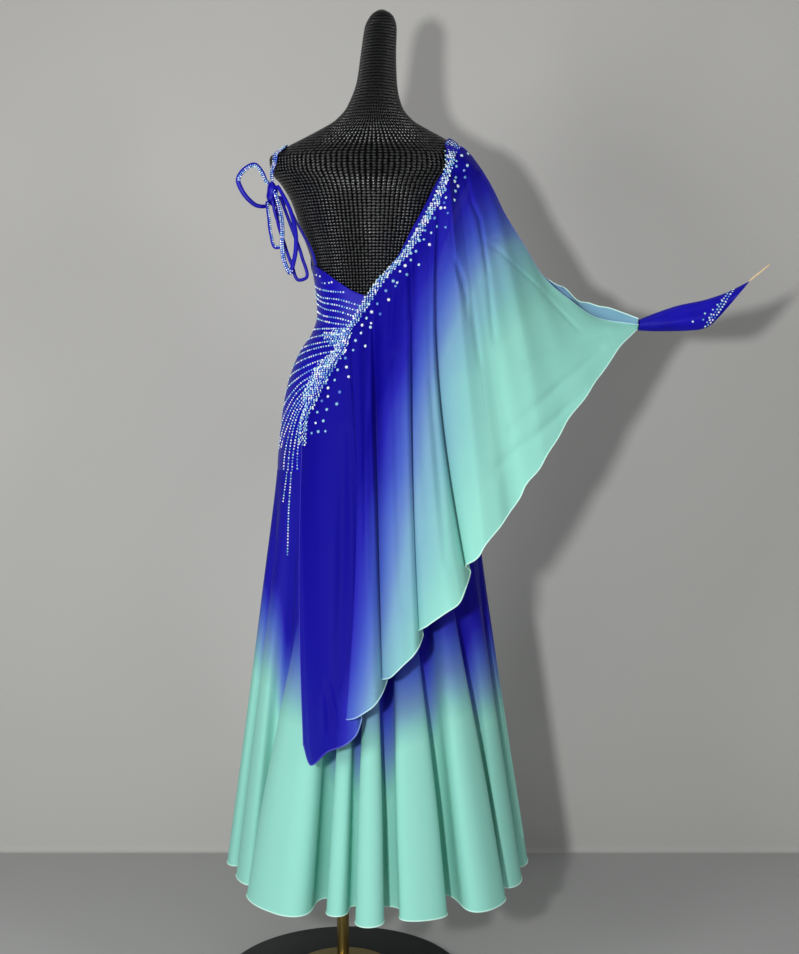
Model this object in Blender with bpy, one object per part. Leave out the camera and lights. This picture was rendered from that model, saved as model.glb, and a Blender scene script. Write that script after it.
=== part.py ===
# Ballroom dress, seen on the limbless form that it hangs on.
# Metres, +Z up, origin in the middle of the stand's underside. The back of the dress faces -Y,
# the wearer's right is +X.
import math

import bmesh
import bpy
import numpy as np

# The stand
baseRadius = 0.225
baseEdgeHeight = 0.010
baseHeight = 0.018
bossRadius = 0.105
bossHeight = 0.007
poleRadius = 0.0115
fit = 0.0003                # what touching pieces keep clear of each other

# The form: its torso stands this far to the wearer's right of its pole
torsoX = 0.062
torsoBottom = 0.860
# height, middle, half width, depth to the back, depth to the front
bodyRows = (
    (0.860, 0.062, 0.150, 0.095, 0.090),
    (0.920, 0.062, 0.166, 0.110, 0.100),
    (0.985, 0.062, 0.177, 0.121, 0.107),
    (1.040, 0.062, 0.173, 0.119, 0.105),
    (1.110, 0.062, 0.164, 0.106, 0.102),
    (1.165, 0.062, 0.150, 0.094, 0.098),
    (1.205, 0.062, 0.132, 0.087, 0.094),
    (1.235, 0.062, 0.112, 0.083, 0.090),
    (1.270, 0.062, 0.102, 0.082, 0.089),
    (1.315, 0.062, 0.105, 0.088, 0.100),
    (1.370, 0.062, 0.116, 0.097, 0.122),
    (1.425, 0.062, 0.135, 0.104, 0.128),
    (1.475, 0.062, 0.152, 0.102, 0.112),
    (1.505, 0.062, 0.170, 0.093, 0.094),
    (1.529, 0.062, 0.189, 0.080, 0.080),
    (1.552, 0.062, 0.191, 0.067, 0.067),
    (1.570, 0.062, 0.164, 0.055, 0.056),
    (1.588, 0.062, 0.129, 0.048, 0.050),
    (1.604, 0.062, 0.098, 0.043, 0.046),
    (1.620, 0.062, 0.071, 0.041, 0.044),
    (1.645, 0.063, 0.050, 0.039, 0.042),
    (1.690, 0.067, 0.0365, 0.036, 0.038),
    (1.740, 0.070, 0.032, 0.033, 0.034),
    (1.785, 0.074, 0.029, 0.029, 0.029),
    (1.808, 0.076, 0.019, 0.019, 0.019),
    (1.816, 0.076, 0.006, 0.006, 0.006),
)
bodySides = 40
denseRings = ((1.15, 1.33), (1.42, 1.51))   # between these heights, where the form curves most

# The bodice: stretch crepe drawn over the form
hipSeamZ = 0.985
bodiceInner = 0.0019        # off the form
bodiceOuter = 0.0033
panelSplitZ = 1.2925        # below this the panels' rows lie on the form's own rings
panelTopZ = 1.588          # the form's ring just over the shoulder seam
shoulderEase = 0.0105       # the panels stand this much further off the tip of the shoulder
shoulderTipZ = 1.548
swingPower = 60             # how late a column swings to its top edge's angle
# angle at the hip seam, angle at the top edge, height of the top edge: from the left side seam
# over the low back and up the right side of the neckline, over the shoulder, down the armhole
backTop = (
    (180.15, 180.15, 1.352),
    (189.0, 189.0, 1.355),
    (198.0, 198.0, 1.357),
    (207.0, 207.0, 1.354),
    (216.0, 216.0, 1.345),
    (225.0, 225.0, 1.334),
    (234.0, 234.0, 1.325),
    (243.0, 243.0, 1.315),
    (252.0, 252.0, 1.306),
    (261.0, 261.0, 1.299),
    (268.0, 268.0, 1.297),
    (274.5, 274.5, 1.325),
    (283.5, 283.5, 1.347),
    (292.5, 292.5, 1.371),
    (301.5, 301.5, 1.405),
    (306.0, 306.0, 1.432),
    (311.0, 311.0, 1.463),
    (314.5, 314.5, 1.500),
    (316.5, 316.5, 1.545),
    (318.0, 326.0, 1.569),
    (319.5, 340.0, 1.580),
    (321.0, 357.0, 1.583),
    (322.5, 357.0, 1.575),
    (324.0, 345.0, 1.571),
    (325.5, 334.0, 1.562),
    (327.0, 325.5, 1.548),
    (330.0, 328.0, 1.520),
    (333.0, 332.0, 1.490),
    (339.0, 338.5, 1.462),
    (346.5, 346.5, 1.440),
    (354.0, 354.0, 1.429),
    (359.85, 359.85, 1.425),
)
# the same for the front, from the right side seam to the left one
frontTop = (
    (0.15, 0.15, 1.425),
    (6.0, 6.0, 1.429),
    (13.5, 13.5, 1.440),
    (21.0, 21.5, 1.462),
    (27.0, 28.0, 1.490),
    (30.0, 32.0, 1.520),
    (33.0, 34.5, 1.548),
    (34.5, 26.0, 1.562),
    (36.0, 15.0, 1.571),
    (37.5, 3.0, 1.575),
    (39.0, 3.0, 1.583),
    (40.5, 20.0, 1.580),
    (42.0, 34.0, 1.569),
    (43.5, 43.5, 1.545),
    (46.0, 46.5, 1.510),
    (54.0, 55.0, 1.474),
    (63.0, 63.0, 1.446),
    (72.0, 72.0, 1.424),
    (81.0, 81.0, 1.408),
    (90.0, 90.0, 1.398),
    (99.0, 99.0, 1.396),
    (108.0, 108.0, 1.400),
    (117.0, 117.0, 1.409),
    (126.0, 126.0, 1.420),
    (135.0, 135.0, 1.424),
    (144.0, 144.0, 1.415),
    (153.0, 153.0, 1.402),
    (162.0, 162.0, 1.386),
    (171.0, 171.0, 1.368),
    (179.85, 179.85, 1.352),
)

# The skirt: gores of chiffon over a lining that ends above their hem
hemZ = 0.236
hipHalfWidth = 0.1808
hipBackDepth = 0.1247
hipFrontDepth = 0.1107
chiffonWall = 0.0012
liningWall = 0.0010
seamGap = 0.0010            # radians between two gores
# angle and radius of a fold's crest at the hem, angle and radius of the valley after it
skirtFolds = (
    (2.0, 0.291, 13.0, 0.252),
    (25.0, 0.285, 36.0, 0.244),
    (48.0, 0.297, 60.0, 0.240),
    (72.0, 0.288, 84.0, 0.238),
    (96.0, 0.301, 108.0, 0.240),
    (120.0, 0.288, 131.0, 0.238),
    (143.0, 0.296, 153.0, 0.244),
    (163.0, 0.284, 172.0, 0.254),
    (181.0, 0.282, 190.0, 0.248),
    (200.0, 0.266, 212.0, 0.232),
    (236.0, 0.297, 248.5, 0.206),
    (256.0, 0.268, 262.0, 0.236),
    (269.0, 0.303, 276.0, 0.240),
    (289.0, 0.286, 303.0, 0.226),
    (313.0, 0.304, 328.0, 0.246),
    (340.0, 0.285, 351.0, 0.260),
)
stepsPerFold = 6
crestHalfWidth = 0.288      # the skirt's outline through its crests at the hem
crestBackDepth = 0.305
# the fold after whose valley each gore starts
goreStarts = {
    "skirt_front_right": 1,
    "skirt_front_left": 4,
    "skirt_side_left": 8,
    "skirt_back_centre": 10,
    "skirt_side_right": 13,
}
skirtLevels = (0.0, 0.18, 0.44, 0.70, 0.9346, 1.0)
liningLevels = skirtLevels[:-1]

# The big float over the back: along each fold line, where it leaves the seam (x, z), its hem
# (x, y, z) and how far it bows to the wearer's left between them
floatLines = (
    (-0.064, 1.042, -0.046, -0.258, 0.500, 0.020),
    (-0.052, 1.096, -0.018, -0.300, 0.516, 0.016),
    (-0.030, 1.137, 0.012, -0.284, 0.534, 0.014),
    (-0.004, 1.188, 0.036, -0.250, 0.560, 0.012),
    (0.024, 1.246, 0.056, -0.297, 0.597, 0.010),
    (0.044, 1.288, 0.079, -0.245, 0.636, 0.006),
    (0.072, 1.330, 0.112, -0.285, 0.662, 0.004),
    (0.106, 1.368, 0.146, -0.230, 0.710, 0.002),
    (0.134, 1.411, 0.184, -0.252, 0.748, 0.0),
    (0.160, 1.458, 0.217, -0.186, 0.815, -0.004),
    (0.180, 1.504, 0.250, -0.196, 0.855, -0.004),
    (0.193, 1.548, 0.285, -0.162, 0.905, -0.004),
    (0.208, 1.574, 0.310, -0.163, 0.940, -0.004),
    (0.229, 1.566, 0.330, -0.143, 0.966, -0.004),
    (0.245, 1.556, 0.345, -0.140, 0.987, -0.004),
)
# past the shoulder its upper edge runs free to the wrist: edge (x, y, z), hem (x, y, z)
wingLines = (
    (0.278, -0.018, 1.530, 0.364, -0.129, 1.014),
    (0.281, -0.015, 1.478, 0.386, -0.117, 1.046),
    (0.306, -0.016, 1.412, 0.412, -0.102, 1.084),
    (0.340, -0.016, 1.362, 0.437, -0.088, 1.124),
    (0.388, -0.016, 1.316, 0.464, -0.072, 1.156),
    (0.444, -0.018, 1.289, 0.490, -0.057, 1.188),
    (0.498, -0.019, 1.271, 0.516, -0.040, 1.219),
    (0.545, -0.020, 1.2605, 0.5420, -0.021, 1.2450),
)
floatLevels = (0, 0.02, 0.05, 0.10, 0.16, 0.24, 0.34, 0.46, 0.59, 0.73, 0.87, 1)
floatClearance = 0.006
floatSeamLift = 0.0012
floatEase = 3.2             # times the panels' own ease at the shoulder
# The float's front half hangs from the same shoulder on the far side of the arm: edge, hem
frontFloatLines = (
    (0.186, 0.072, 1.330, 0.196, 0.092, 1.090),
    (0.206, 0.072, 1.425, 0.236, 0.094, 1.062),
    (0.238, 0.058, 1.500, 0.280, 0.086, 1.070),
    (0.262, 0.030, 1.548, 0.322, 0.076, 1.095),
    (0.279, 0.010, 1.518, 0.356, 0.064, 1.125),
    (0.299, 0.008, 1.459, 0.390, 0.052, 1.150),
    (0.338, 0.008, 1.394, 0.424, 0.040, 1.172),
    (0.378, 0.008, 1.337, 0.452, 0.028, 1.192),
    (0.434, 0.004, 1.302, 0.484, 0.016, 1.215),
    (0.498, -0.006, 1.279, 0.514, 0.000, 1.236),
    (0.5445, -0.0182, 1.2620, 0.5422, -0.0186, 1.2500),
)
frontFloatLevels = 8
frontFloatWaves = 5

# The gauntlet: a flat pointed tube. Upper point (x, z), lower point (x, z), half depth of a ring
gauntletRings = (
    (0.5456, 1.2605, 0.5444, 1.2400, 0.011),
    (0.572, 1.2710, 0.5760, 1.2385, 0.013),
    (0.617, 1.2860, 0.6150, 1.2390, 0.015),
    (0.662, 1.2955, 0.6530, 1.2410, 0.016),
    (0.702, 1.3085, 0.6700, 1.2460, 0.016),
    (0.744, 1.3290, 0.6780, 1.2510, 0.012),
)
gauntletY = -0.020
gauntletWall = 0.0012
gauntletSides = 12
gauntletLevels = 8

# The elastic loop that goes round the middle finger
loopStart = (0.7450, 1.3303)
loopEnd = (0.782, 1.360)
loopHalfWidth = 0.006
loopCordRadius = 0.0012

# The left shoulder: a strap over it, a strap down the side, tied in a bow of rouleau cord.
# Straps: angle and height on the form, lift off it
shoulderStrapRows = (
    (195.5, 1.5153, 0.0140),
    (196.5, 1.5230, 0.0080),
    (197.0, 1.5400, 0.0016),
    (197.0, 1.5490, 0.0016),
    (194.0, 1.5590, 0.0018),
    (180.0, 1.5660, 0.0018),
    (163.0, 1.5590, 0.0018),
    (153.0, 1.5400, 0.0016),
    (146.0, 1.5100, 0.0012),
    (140.0, 1.4700, 0.0012),
    (135.0, 1.4247, 0.0012),
)
sideStrapRows = (
    (193.0, 1.4900, 0.0206),
    (194.0, 1.4700, 0.0125),
    (196.0, 1.4400, 0.0070),
    (199.5, 1.4100, 0.0036),
    (202.0, 1.3850, 0.0014),
    (203.0, 1.3700, 0.0012),
    (203.0, 1.3572, 0.0012),
)
strapWidth = 0.012
strapThickness = 0.0018
knotMiddle = (-0.1215, -0.034, 1.4850)
knotHalfSizes = (0.0100, 0.0100, 0.0215)
cordRadius = 0.0029
knotClear = 0.0004          # from the knot's face to a cord's end
# Each loop leaves the knot at one side and comes back at another: the way it leaves (x, y, z
# as seen from the knot's middle), its route (x, y, z), the way it comes back
bowLoops = {
    "bow_loop_side": ((-1.0, -0.1, 0.60), (
        (-0.1400, -0.037, 1.5240), (-0.1510, -0.042, 1.5350), (-0.1680, -0.046, 1.5275),
        (-0.1810, -0.046, 1.5080), (-0.1750, -0.044, 1.4900), (-0.1590, -0.041, 1.4720),
        (-0.1440, -0.038, 1.4650),
    ), (-1.0, -0.1, -0.45)),
    "bow_loop_outer": ((-0.60, -0.75, -0.90), (
        (-0.1270, -0.044, 1.4420), (-0.1230, -0.050, 1.4120), (-0.1135, -0.052, 1.3875),
        (-0.1035, -0.052, 1.3900), (-0.1060, -0.050, 1.4200), (-0.1150, -0.047, 1.4480),
    ), (0.10, -1.0, -0.60)),
    "bow_loop_middle": ((0.45, -1.0, 0.05), (
        (-0.1040, -0.053, 1.4450), (-0.1010, -0.064, 1.4200), (-0.1010, -0.066, 1.3850),
        (-0.0950, -0.066, 1.3540), (-0.0880, -0.066, 1.3420), (-0.0810, -0.064, 1.3620),
        (-0.0770, -0.060, 1.4050), (-0.0870, -0.053, 1.4520),
    ), (0.80, -0.70, 0.55)),
    "bow_loop_inner": ((0.55, -0.20, -1.0), (
        (-0.1120, -0.038, 1.4400), (-0.1010, -0.041, 1.4000), (-0.0860, -0.043, 1.3570),
        (-0.0730, -0.044, 1.3300), (-0.0620, -0.043, 1.3330), (-0.0680, -0.042, 1.3720),
        (-0.0830, -0.041, 1.4150), (-0.0970, -0.041, 1.4530),
    ), (1.0, -0.35, -0.35)),
}
bowPointsPerLoop = 17
bowCordSides = 6


# Rounded interpolation through a table that never swings past its own values
def throughRows(keys, values, x):
    keys = np.asarray(keys, float)
    values = np.asarray(values, float)
    steps = np.diff(keys)
    slopes = np.diff(values) / steps
    tangents = np.zeros(len(keys))
    tangents[0] = slopes[0]
    tangents[-1] = slopes[-1]
    same = slopes[1:] * slopes[:-1] > 0
    middle = 2 * slopes[1:] * slopes[:-1] / np.where(same, slopes[1:] + slopes[:-1], 1)
    tangents[1:-1] = np.where(same, middle, 0)
    x = np.clip(x, keys[0], keys[-1])
    i = np.clip(np.searchsorted(keys, x, side="right") - 1, 0, len(keys) - 2)
    h = steps[i]
    t = (x - keys[i]) / h
    start = (1 + 2 * t) * (1 - t) ** 2 * values[i] + t * (1 - t) ** 2 * h * tangents[i]
    end = t ** 2 * (3 - 2 * t) * values[i + 1] + t ** 2 * (t - 1) * h * tangents[i + 1]
    return start + end


# A table's columns, each read at positions counted in rows
def columnsAt(rows, positions):
    keys = range(len(rows))
    return [throughRows(keys, column, positions) for column in zip(*rows)]


def bodySizes(z):
    keys = [row[0] for row in bodyRows]
    return [throughRows(keys, [row[i] for row in bodyRows], z) for i in range(1, 5)]


def bodySurface(angle, z):
    middle, width, back, front = bodySizes(z)
    depth = np.where(np.sin(angle) < 0, back, front)
    return np.stack([middle + width * np.cos(angle), depth * np.sin(angle), z], -1)


# Unit normals of a surface of two parameters
def surfaceNormals(surface, u, v):
    step = 1e-4
    du = surface(u + step, v) - surface(u - step, v)
    dv = surface(u, v + step) - surface(u, v - step)
    normals = np.cross(du, dv)
    return normals / np.maximum(np.linalg.norm(normals, axis=-1, keepdims=True), 1e-12)


def onBody(angle, z, lift):
    return bodySurface(angle, z) + surfaceNormals(bodySurface, angle, z) * np.asarray(lift)[..., None]


# How deep the dressed body and the skirt reach towards the back at x, z, with some clearance
def depthBehind(x, z, clearance):
    middle, width, back, front = bodySizes(z)
    drop = np.clip((hipSeamZ - z) / (hipSeamZ - hemZ), 0, 1)
    skirtWidth = hipHalfWidth + (crestHalfWidth - hipHalfWidth) * drop
    skirtBack = hipBackDepth + (crestBackDepth - hipBackDepth) * drop
    ease = bodiceOuter + floatEase * shoulderEase * np.exp(-((z - shoulderTipZ) / 0.03) ** 2)
    width = np.where(z > hipSeamZ, width + ease, skirtWidth) + clearance
    back = np.where(z > hipSeamZ, back + ease, skirtBack) + clearance
    across = (x - torsoX) / width
    return back * np.sqrt(np.clip(1 - across ** 2, 0, 1))


def makeMaterial(name, colour, roughness, metallic=0.0):
    material = bpy.data.materials.new(name)
    material.use_nodes = True
    shader = material.node_tree.nodes["Principled BSDF"]
    shader.inputs["Base Color"].default_value = (*colour, 1)
    shader.inputs["Roughness"].default_value = roughness
    shader.inputs["Metallic"].default_value = metallic
    return material


def addPiece(name, points, faces, material):
    mesh = bpy.data.meshes.new(name)
    mesh.from_pydata([tuple(point) for point in points], [], faces)
    edit = bmesh.new()
    edit.from_mesh(mesh)
    bmesh.ops.recalc_face_normals(edit, faces=edit.faces)
    edit.to_mesh(mesh)
    edit.free()
    mesh.materials.append(material)
    mesh.shade_smooth()
    mesh.set_sharp_from_angle(angle=math.radians(40))
    piece = bpy.data.objects.new(name, mesh)
    bpy.context.scene.collection.objects.link(piece)
    return piece


# The triangles of a grid of points, numbered from first; both sides of a wall split each
# square along the same diagonal
def gridTriangles(columns, rows, first, wrap, flip):
    faces = []
    for i in range(columns if wrap else columns - 1):
        for j in range(rows - 1):
            a = first + i * rows + j
            b = first + (i + 1) % columns * rows + j
            pair = [(a, b, b + 1), (a, b + 1, a + 1)]
            faces += [face[::-1] for face in pair] if flip else pair
    return faces


# Points and normals of a surface at every pair of u and v
def gridOn(surface, u, v):
    grid = np.meshgrid(u, v, indexing="ij")
    return surface(*grid), surfaceNormals(surface, *grid)


# A closed wall between two offsets of a grid of points along their normals
def addWall(name, grid, inner, outer, material, wrap=False):
    middle, normals = grid
    columns, rows = middle.shape[:2]
    count = columns * rows
    points = np.concatenate([
        (middle + normals * outer).reshape(-1, 3),
        (middle + normals * inner).reshape(-1, 3),
    ])
    faces = gridTriangles(columns, rows, 0, wrap, False)
    faces += gridTriangles(columns, rows, count, wrap, True)
    rim = []
    for i in range(columns if wrap else columns - 1):
        a = i * rows
        b = (i + 1) % columns * rows
        rim.append((b, a, a + count, b + count))
        rim.append((a + rows - 1, b + rows - 1, b + rows - 1 + count, a + rows - 1 + count))
    if not wrap:
        last = (columns - 1) * rows
        for j in range(rows - 1):
            rim.append((j, j + 1, j + 1 + count, j + count))
            rim.append((last + j + 1, last + j, last + j + count, last + j + 1 + count))
    for a, b, c, d in rim:
        faces += [(a, b, c), (a, c, d)]
    return addPiece(name, points, faces, material)


# A solid of rings, closed by a fan at each end
def addRings(name, rings, material):
    rings = np.asarray(rings)
    count, sides = rings.shape[:2]
    points = list(rings.reshape(-1, 3)) + [rings[0].mean(0), rings[-1].mean(0)]
    faces = []
    for i in range(count - 1):
        for j in range(sides):
            a = i * sides + j
            b = i * sides + (j + 1) % sides
            faces += [(a, b, b + sides), (a, b + sides, a + sides)]
    bottom = count * sides
    top = (count - 1) * sides
    for j in range(sides):
        following = (j + 1) % sides
        faces.append((following, j, bottom))
        faces.append((top + j, top + following, bottom + 1))
    return addPiece(name, points, faces, material)


def lathe(name, profile, sides, material):
    turns = np.arange(sides) * 2 * math.pi / sides
    rings = [
        np.stack([radius * np.cos(turns), radius * np.sin(turns), turns * 0 + z], -1)
        for radius, z in profile
    ]
    return addRings(name, rings, material)


def buildStand():
    enamel = makeMaterial("black_enamelled_steel", (0.010, 0.014, 0.018), 0.35)
    brass = makeMaterial("brushed_brass", (0.23, 0.18, 0.06), 0.35, 1.0)
    chamfer = 0.003
    lathe("form_base", (
        (baseRadius - chamfer, 0),
        (baseRadius, chamfer),
        (baseRadius, baseEdgeHeight - chamfer),
        (baseRadius - 2 * chamfer, baseEdgeHeight),
        (bossRadius, baseHeight),
        (poleRadius, baseHeight),
    ), 36, enamel)
    bossBottom = baseHeight + fit
    bossTop = bossBottom + bossHeight
    lathe("form_boss", (
        (bossRadius - chamfer, bossBottom),
        (bossRadius - chamfer, bossBottom + 0.4 * bossHeight),
        (bossRadius - 3 * chamfer, bossTop),
        (poleRadius, bossTop),
    ), 28, brass)
    lathe("form_pole", (
        (poleRadius, bossTop + fit),
        (poleRadius, torsoBottom - fit),
    ), 16, brass)


def ringHeights():
    heights = [row[0] for row in bodyRows]
    between = [(low + high) / 2 for low, high in zip(heights, heights[1:])]
    return sorted(heights + [z for z in between if any(low < z < high for low, high in denseRings)])


def buildTorso():
    cover = makeMaterial("embossed_knit_cover", (0.012, 0.013, 0.014), 0.6)
    angles = np.arange(bodySides) * 2 * math.pi / bodySides
    rings = [bodySurface(angles, angles * 0 + z) for z in ringHeights()]
    addRings("form_torso", rings, cover)


# The form, eased at the tips of the shoulders as cloth lies over them
def easedBody(angle, z):
    ease = shoulderEase * np.exp(-((z - shoulderTipZ) / 0.03) ** 2)
    return onBody(angle, z, ease)


# A bodice panel runs from the hip seam to its top edge. Its rows lie on the form's rings as
# far as the waist, and its columns swing to the edge's own angle near the top
def bodicePanel(name, edge, material):
    rings = np.array([z for z in ringHeights() if hipSeamZ <= z <= panelTopZ])
    rings[0] += fit / 2
    low, high, top = [np.array(column)[:, None] for column in zip(*edge)]
    squeeze = (top - panelSplitZ) / (panelTopZ - panelSplitZ)
    z = np.where(rings <= panelSplitZ, rings, panelSplitZ + (rings - panelSplitZ) * squeeze)
    swing = np.clip((z - hipSeamZ) / (top - hipSeamZ), 0, 1) ** swingPower
    angle = np.radians(low + (high - low) * swing)
    grid = easedBody(angle, z), surfaceNormals(easedBody, angle, z)
    addWall(name, grid, bodiceInner, bodiceOuter, material)


def buildBodice():
    crepe = makeMaterial("royal_blue_crepe", (0.010, 0.004, 0.30), 0.55)
    bodicePanel("bodice_back", backTop, crepe)
    bodicePanel("bodice_front", frontTop, crepe)


# The hem's plan as one table of angle and radius: crest, valley, crest, and so on
def hemPlan():
    angles = []
    radii = []
    for crest, crestRadius, valley, valleyRadius in skirtFolds:
        angles += [crest, valley]
        radii += [crestRadius, valleyRadius]
    return np.radians(angles), np.array(radii)


def skirtSurface(angle, level):
    angles, radii = hemPlan()
    angle = np.asarray(angle)
    ring = np.concatenate([angles - 2 * math.pi, angles, angles + 2 * math.pi])
    ringRadii = np.tile(radii, 3)
    hem = throughRows(ring, ringRadii, np.mod(angle, 2 * math.pi))
    depth = np.where(np.sin(angle) < 0, hipBackDepth, hipFrontDepth)
    hip = 1 / np.sqrt((np.cos(angle) / hipHalfWidth) ** 2 + (np.sin(angle) / depth) ** 2)
    radius = hip + (hem - hip) * np.sign(level) * np.abs(level) ** 1.08
    z = hipSeamZ - fit / 2 - (hipSeamZ - hemZ) * level
    return np.stack([torsoX + radius * np.cos(angle), radius * np.sin(angle), z], -1)


def buildSkirt():
    chiffon = makeMaterial("ombre_chiffon", (0.27, 0.66, 0.58), 0.7)
    lining = makeMaterial("lining_satin", (0.10, 0.36, 0.32), 0.6)
    angles = hemPlan()[0]
    turn = 2 * math.pi
    samples = []
    for start, end in zip(angles, np.append(angles[1:], angles[0] + turn)):
        half = stepsPerFold // 2
        samples += [start + (end - start) * i / half for i in range(half)]
    samples = np.array(samples)
    starts = list(goreStarts.items())
    for i, (name, first) in enumerate(starts):
        following = starts[(i + 1) % len(starts)][1]
        begin = angles[2 * first - 1]
        finish = angles[2 * following - 1]
        if finish < begin:
            finish += turn
        inside = np.concatenate([samples, samples + turn])
        inside = inside[(inside > begin + 1e-6) & (inside < finish - 1e-6)]
        gore = np.concatenate([[begin + seamGap / 2], inside, [finish - seamGap / 2]])
        addWall(name, gridOn(skirtSurface, gore, skirtLevels), 0, chiffonWall, chiffon)
    # counted inwards from the chiffon's outer face
    liningOuter = chiffonWall + fit + 0.0001
    addWall("skirt_lining", gridOn(skirtSurface, samples, liningLevels),
            liningOuter, liningOuter + liningWall, lining, wrap=True)


# Smooth maximum of two depths
def softMax(a, b, width):
    return (a + b + np.sqrt((a - b) ** 2 + width ** 2)) / 2


# A point just off the dressed back of the form, straight behind x, z
def onBack(x, z):
    middle, width, back, front = bodySizes(z)
    angle = -np.arccos(np.clip((x - middle) / width, -1, 1))
    ease = shoulderEase * np.exp(-((z - shoulderTipZ) / 0.03) ** 2)
    return onBody(angle, z, floatEase * ease + bodiceOuter + floatSeamLift)


# The float's edge and hem lines as one table of edge (x, y, z), hem (x, y, z), bow
def floatTable():
    rows = []
    for x, z, *hem in floatLines:
        edge = onBack(np.array(x), np.array(z))
        rows.append((x, edge[1], z, *hem))
    rows += [(*row, 0.0) for row in wingLines]
    return rows


def floatSurface(u, v):
    x, y, z, hemX, hemY, hemHeight, bow = columnsAt(floatTable(), u)
    sewn = (u <= len(floatLines) - 1)[..., None]
    edge = np.where(sewn, onBack(x, z), np.stack([x, y, z], -1))
    x, y, z = np.moveaxis(edge, -1, 0)
    sag = np.sin(math.pi * np.clip(v, 0, 1))
    px = x + (hemX - x) * v - bow * sag
    pz = z + (hemHeight - z) * v
    hang = -(y + (hemY - y) * v)
    clear = depthBehind(px, pz, floatClearance)
    free = np.clip(v / 0.05, 0, 1)
    depth = hang + (softMax(hang, clear, 0.004) - hang) * free
    return np.stack([px, -depth, pz], -1)


def frontFloatSurface(u, v):
    x, y, z, hemX, hemY, hemHeight = columnsAt(frontFloatLines, u)
    last = len(frontFloatLines) - 1
    wave = 0.010 * np.sin(u / last * frontFloatWaves * 2 * math.pi) * v * (1 - u / last)
    px = x + (hemX - x) * v
    pz = z + (hemHeight - z) * v
    return np.stack([px, y + (hemY - y) * v + wave, pz], -1)


def buildFloats():
    chiffon = makeMaterial("ombre_chiffon_float", (0.30, 0.62, 0.66), 0.7)
    last = len(floatLines) + len(wingLines) - 1
    shoulder = len(floatLines) - 1
    u = np.concatenate([
        np.arange(0, shoulder - 3, 0.5),
        np.arange(shoulder - 3, shoulder + 1, 0.25),
        np.arange(shoulder + 1, last + 0.1, 0.5),
    ])
    addWall("float_back", gridOn(floatSurface, u, floatLevels), 0, -chiffonWall, chiffon)
    lines = len(frontFloatLines)
    u = np.linspace(0, lines - 1, (lines - 1) * 2 + 1)
    levels = np.linspace(0, 1, frontFloatLevels)
    addWall("float_front", gridOn(frontFloatSurface, u, levels), -chiffonWall, 0, chiffon)


def gauntletSurface(turn, v):
    topX, topZ, lowX, lowZ, halfDepth = columnsAt(gauntletRings, v)
    x = (topX + lowX) / 2 + (topX - lowX) / 2 * np.cos(turn)
    z = (topZ + lowZ) / 2 + (topZ - lowZ) / 2 * np.cos(turn)
    return np.stack([x, gauntletY + halfDepth * np.sin(turn), z], -1)


def buildGauntlet():
    crepe = makeMaterial("royal_blue_crepe_gauntlet", (0.010, 0.004, 0.30), 0.55)
    turns = np.arange(gauntletSides) * 2 * math.pi / gauntletSides
    v = np.linspace(0, len(gauntletRings) - 1, gauntletLevels)
    addWall("gauntlet", gridOn(gauntletSurface, turns, v), 0, gauntletWall, crepe, wrap=True)


# A curve through the points of a route, at even steps of its length
def smoothRoute(points, count):
    points = np.asarray(points, float)
    steps = np.linalg.norm(np.diff(points, axis=0), axis=1)
    keys = np.concatenate([[0], np.cumsum(steps)])
    tangents = np.gradient(points, keys, axis=0)
    at = np.linspace(0, keys[-1], count)
    i = np.clip(np.searchsorted(keys, at, side="right") - 1, 0, len(keys) - 2)
    h = steps[i][:, None]
    t = ((at - keys[i]) / steps[i])[:, None]
    start = (1 + 2 * t) * (1 - t) ** 2 * points[i] + t * (1 - t) ** 2 * h * tangents[i]
    end = t ** 2 * (3 - 2 * t) * points[i + 1] + t ** 2 * (t - 1) * h * tangents[i + 1]
    return start + end


# A round cord along a route: rings square to it, one after the other
def cordRings(route, radius, sides):
    along = np.gradient(route, axis=0)
    along /= np.linalg.norm(along, axis=1, keepdims=True)
    side = np.cross(along, (0, 1, 0))
    side /= np.linalg.norm(side, axis=1, keepdims=True)
    up = np.cross(side, along)
    turns = np.arange(sides) * 2 * math.pi / sides
    across = np.cos(turns)[None, :, None] * side[:, None]
    return route[:, None] + radius * (across + np.sin(turns)[None, :, None] * up[:, None])


# Where a cord stands on the knot, and its next point straight out
def knotFace(direction):
    sizes = np.array(knotHalfSizes)
    direction = np.array(direction) * sizes
    face = direction / np.linalg.norm(direction / sizes)
    out = face / sizes ** 2
    out /= np.linalg.norm(out)
    return [knotMiddle + face + out * knotClear, knotMiddle + face + out * 2.5 * cordRadius]


def buildFingerLoop():
    elastic = makeMaterial("nude_elastic", (0.45, 0.27, 0.12), 0.6)
    start = np.array([loopStart[0], gauntletY, loopStart[1]])
    end = np.array([loopEnd[0], gauntletY, loopEnd[1]])
    along = (end - start) / np.linalg.norm(end - start)
    half = np.linalg.norm(end - start) / 2
    steps = 16
    turns = np.arange(steps) * 2 * math.pi / steps
    across = np.array([0, 1, 0])
    route = (start + end) / 2 + along * half * np.cos(turns)[:, None]
    route = route + across * loopHalfWidth * np.sin(turns)[:, None]
    side = np.cross(along, across)
    tangent = -along * half * np.sin(turns)[:, None] + across * loopHalfWidth * np.cos(turns)[:, None]
    tangent /= np.linalg.norm(tangent, axis=1, keepdims=True)
    outward = np.cross(side, tangent)
    sides = 5
    around = np.arange(sides) * 2 * math.pi / sides
    rings = route[:, None] + loopCordRadius * (
        np.cos(around)[None, :, None] * outward[:, None]
        + np.sin(around)[None, :, None] * side
    )
    points = rings.reshape(-1, 3)
    faces = []
    for i in range(steps):
        for j in range(sides):
            a = i * sides + j
            b = i * sides + (j + 1) % sides
            c = (i + 1) % steps * sides + (j + 1) % sides
            d = (i + 1) % steps * sides + j
            faces.append((a, b, c, d))
    addPiece("finger_loop", points, faces, elastic)


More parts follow.
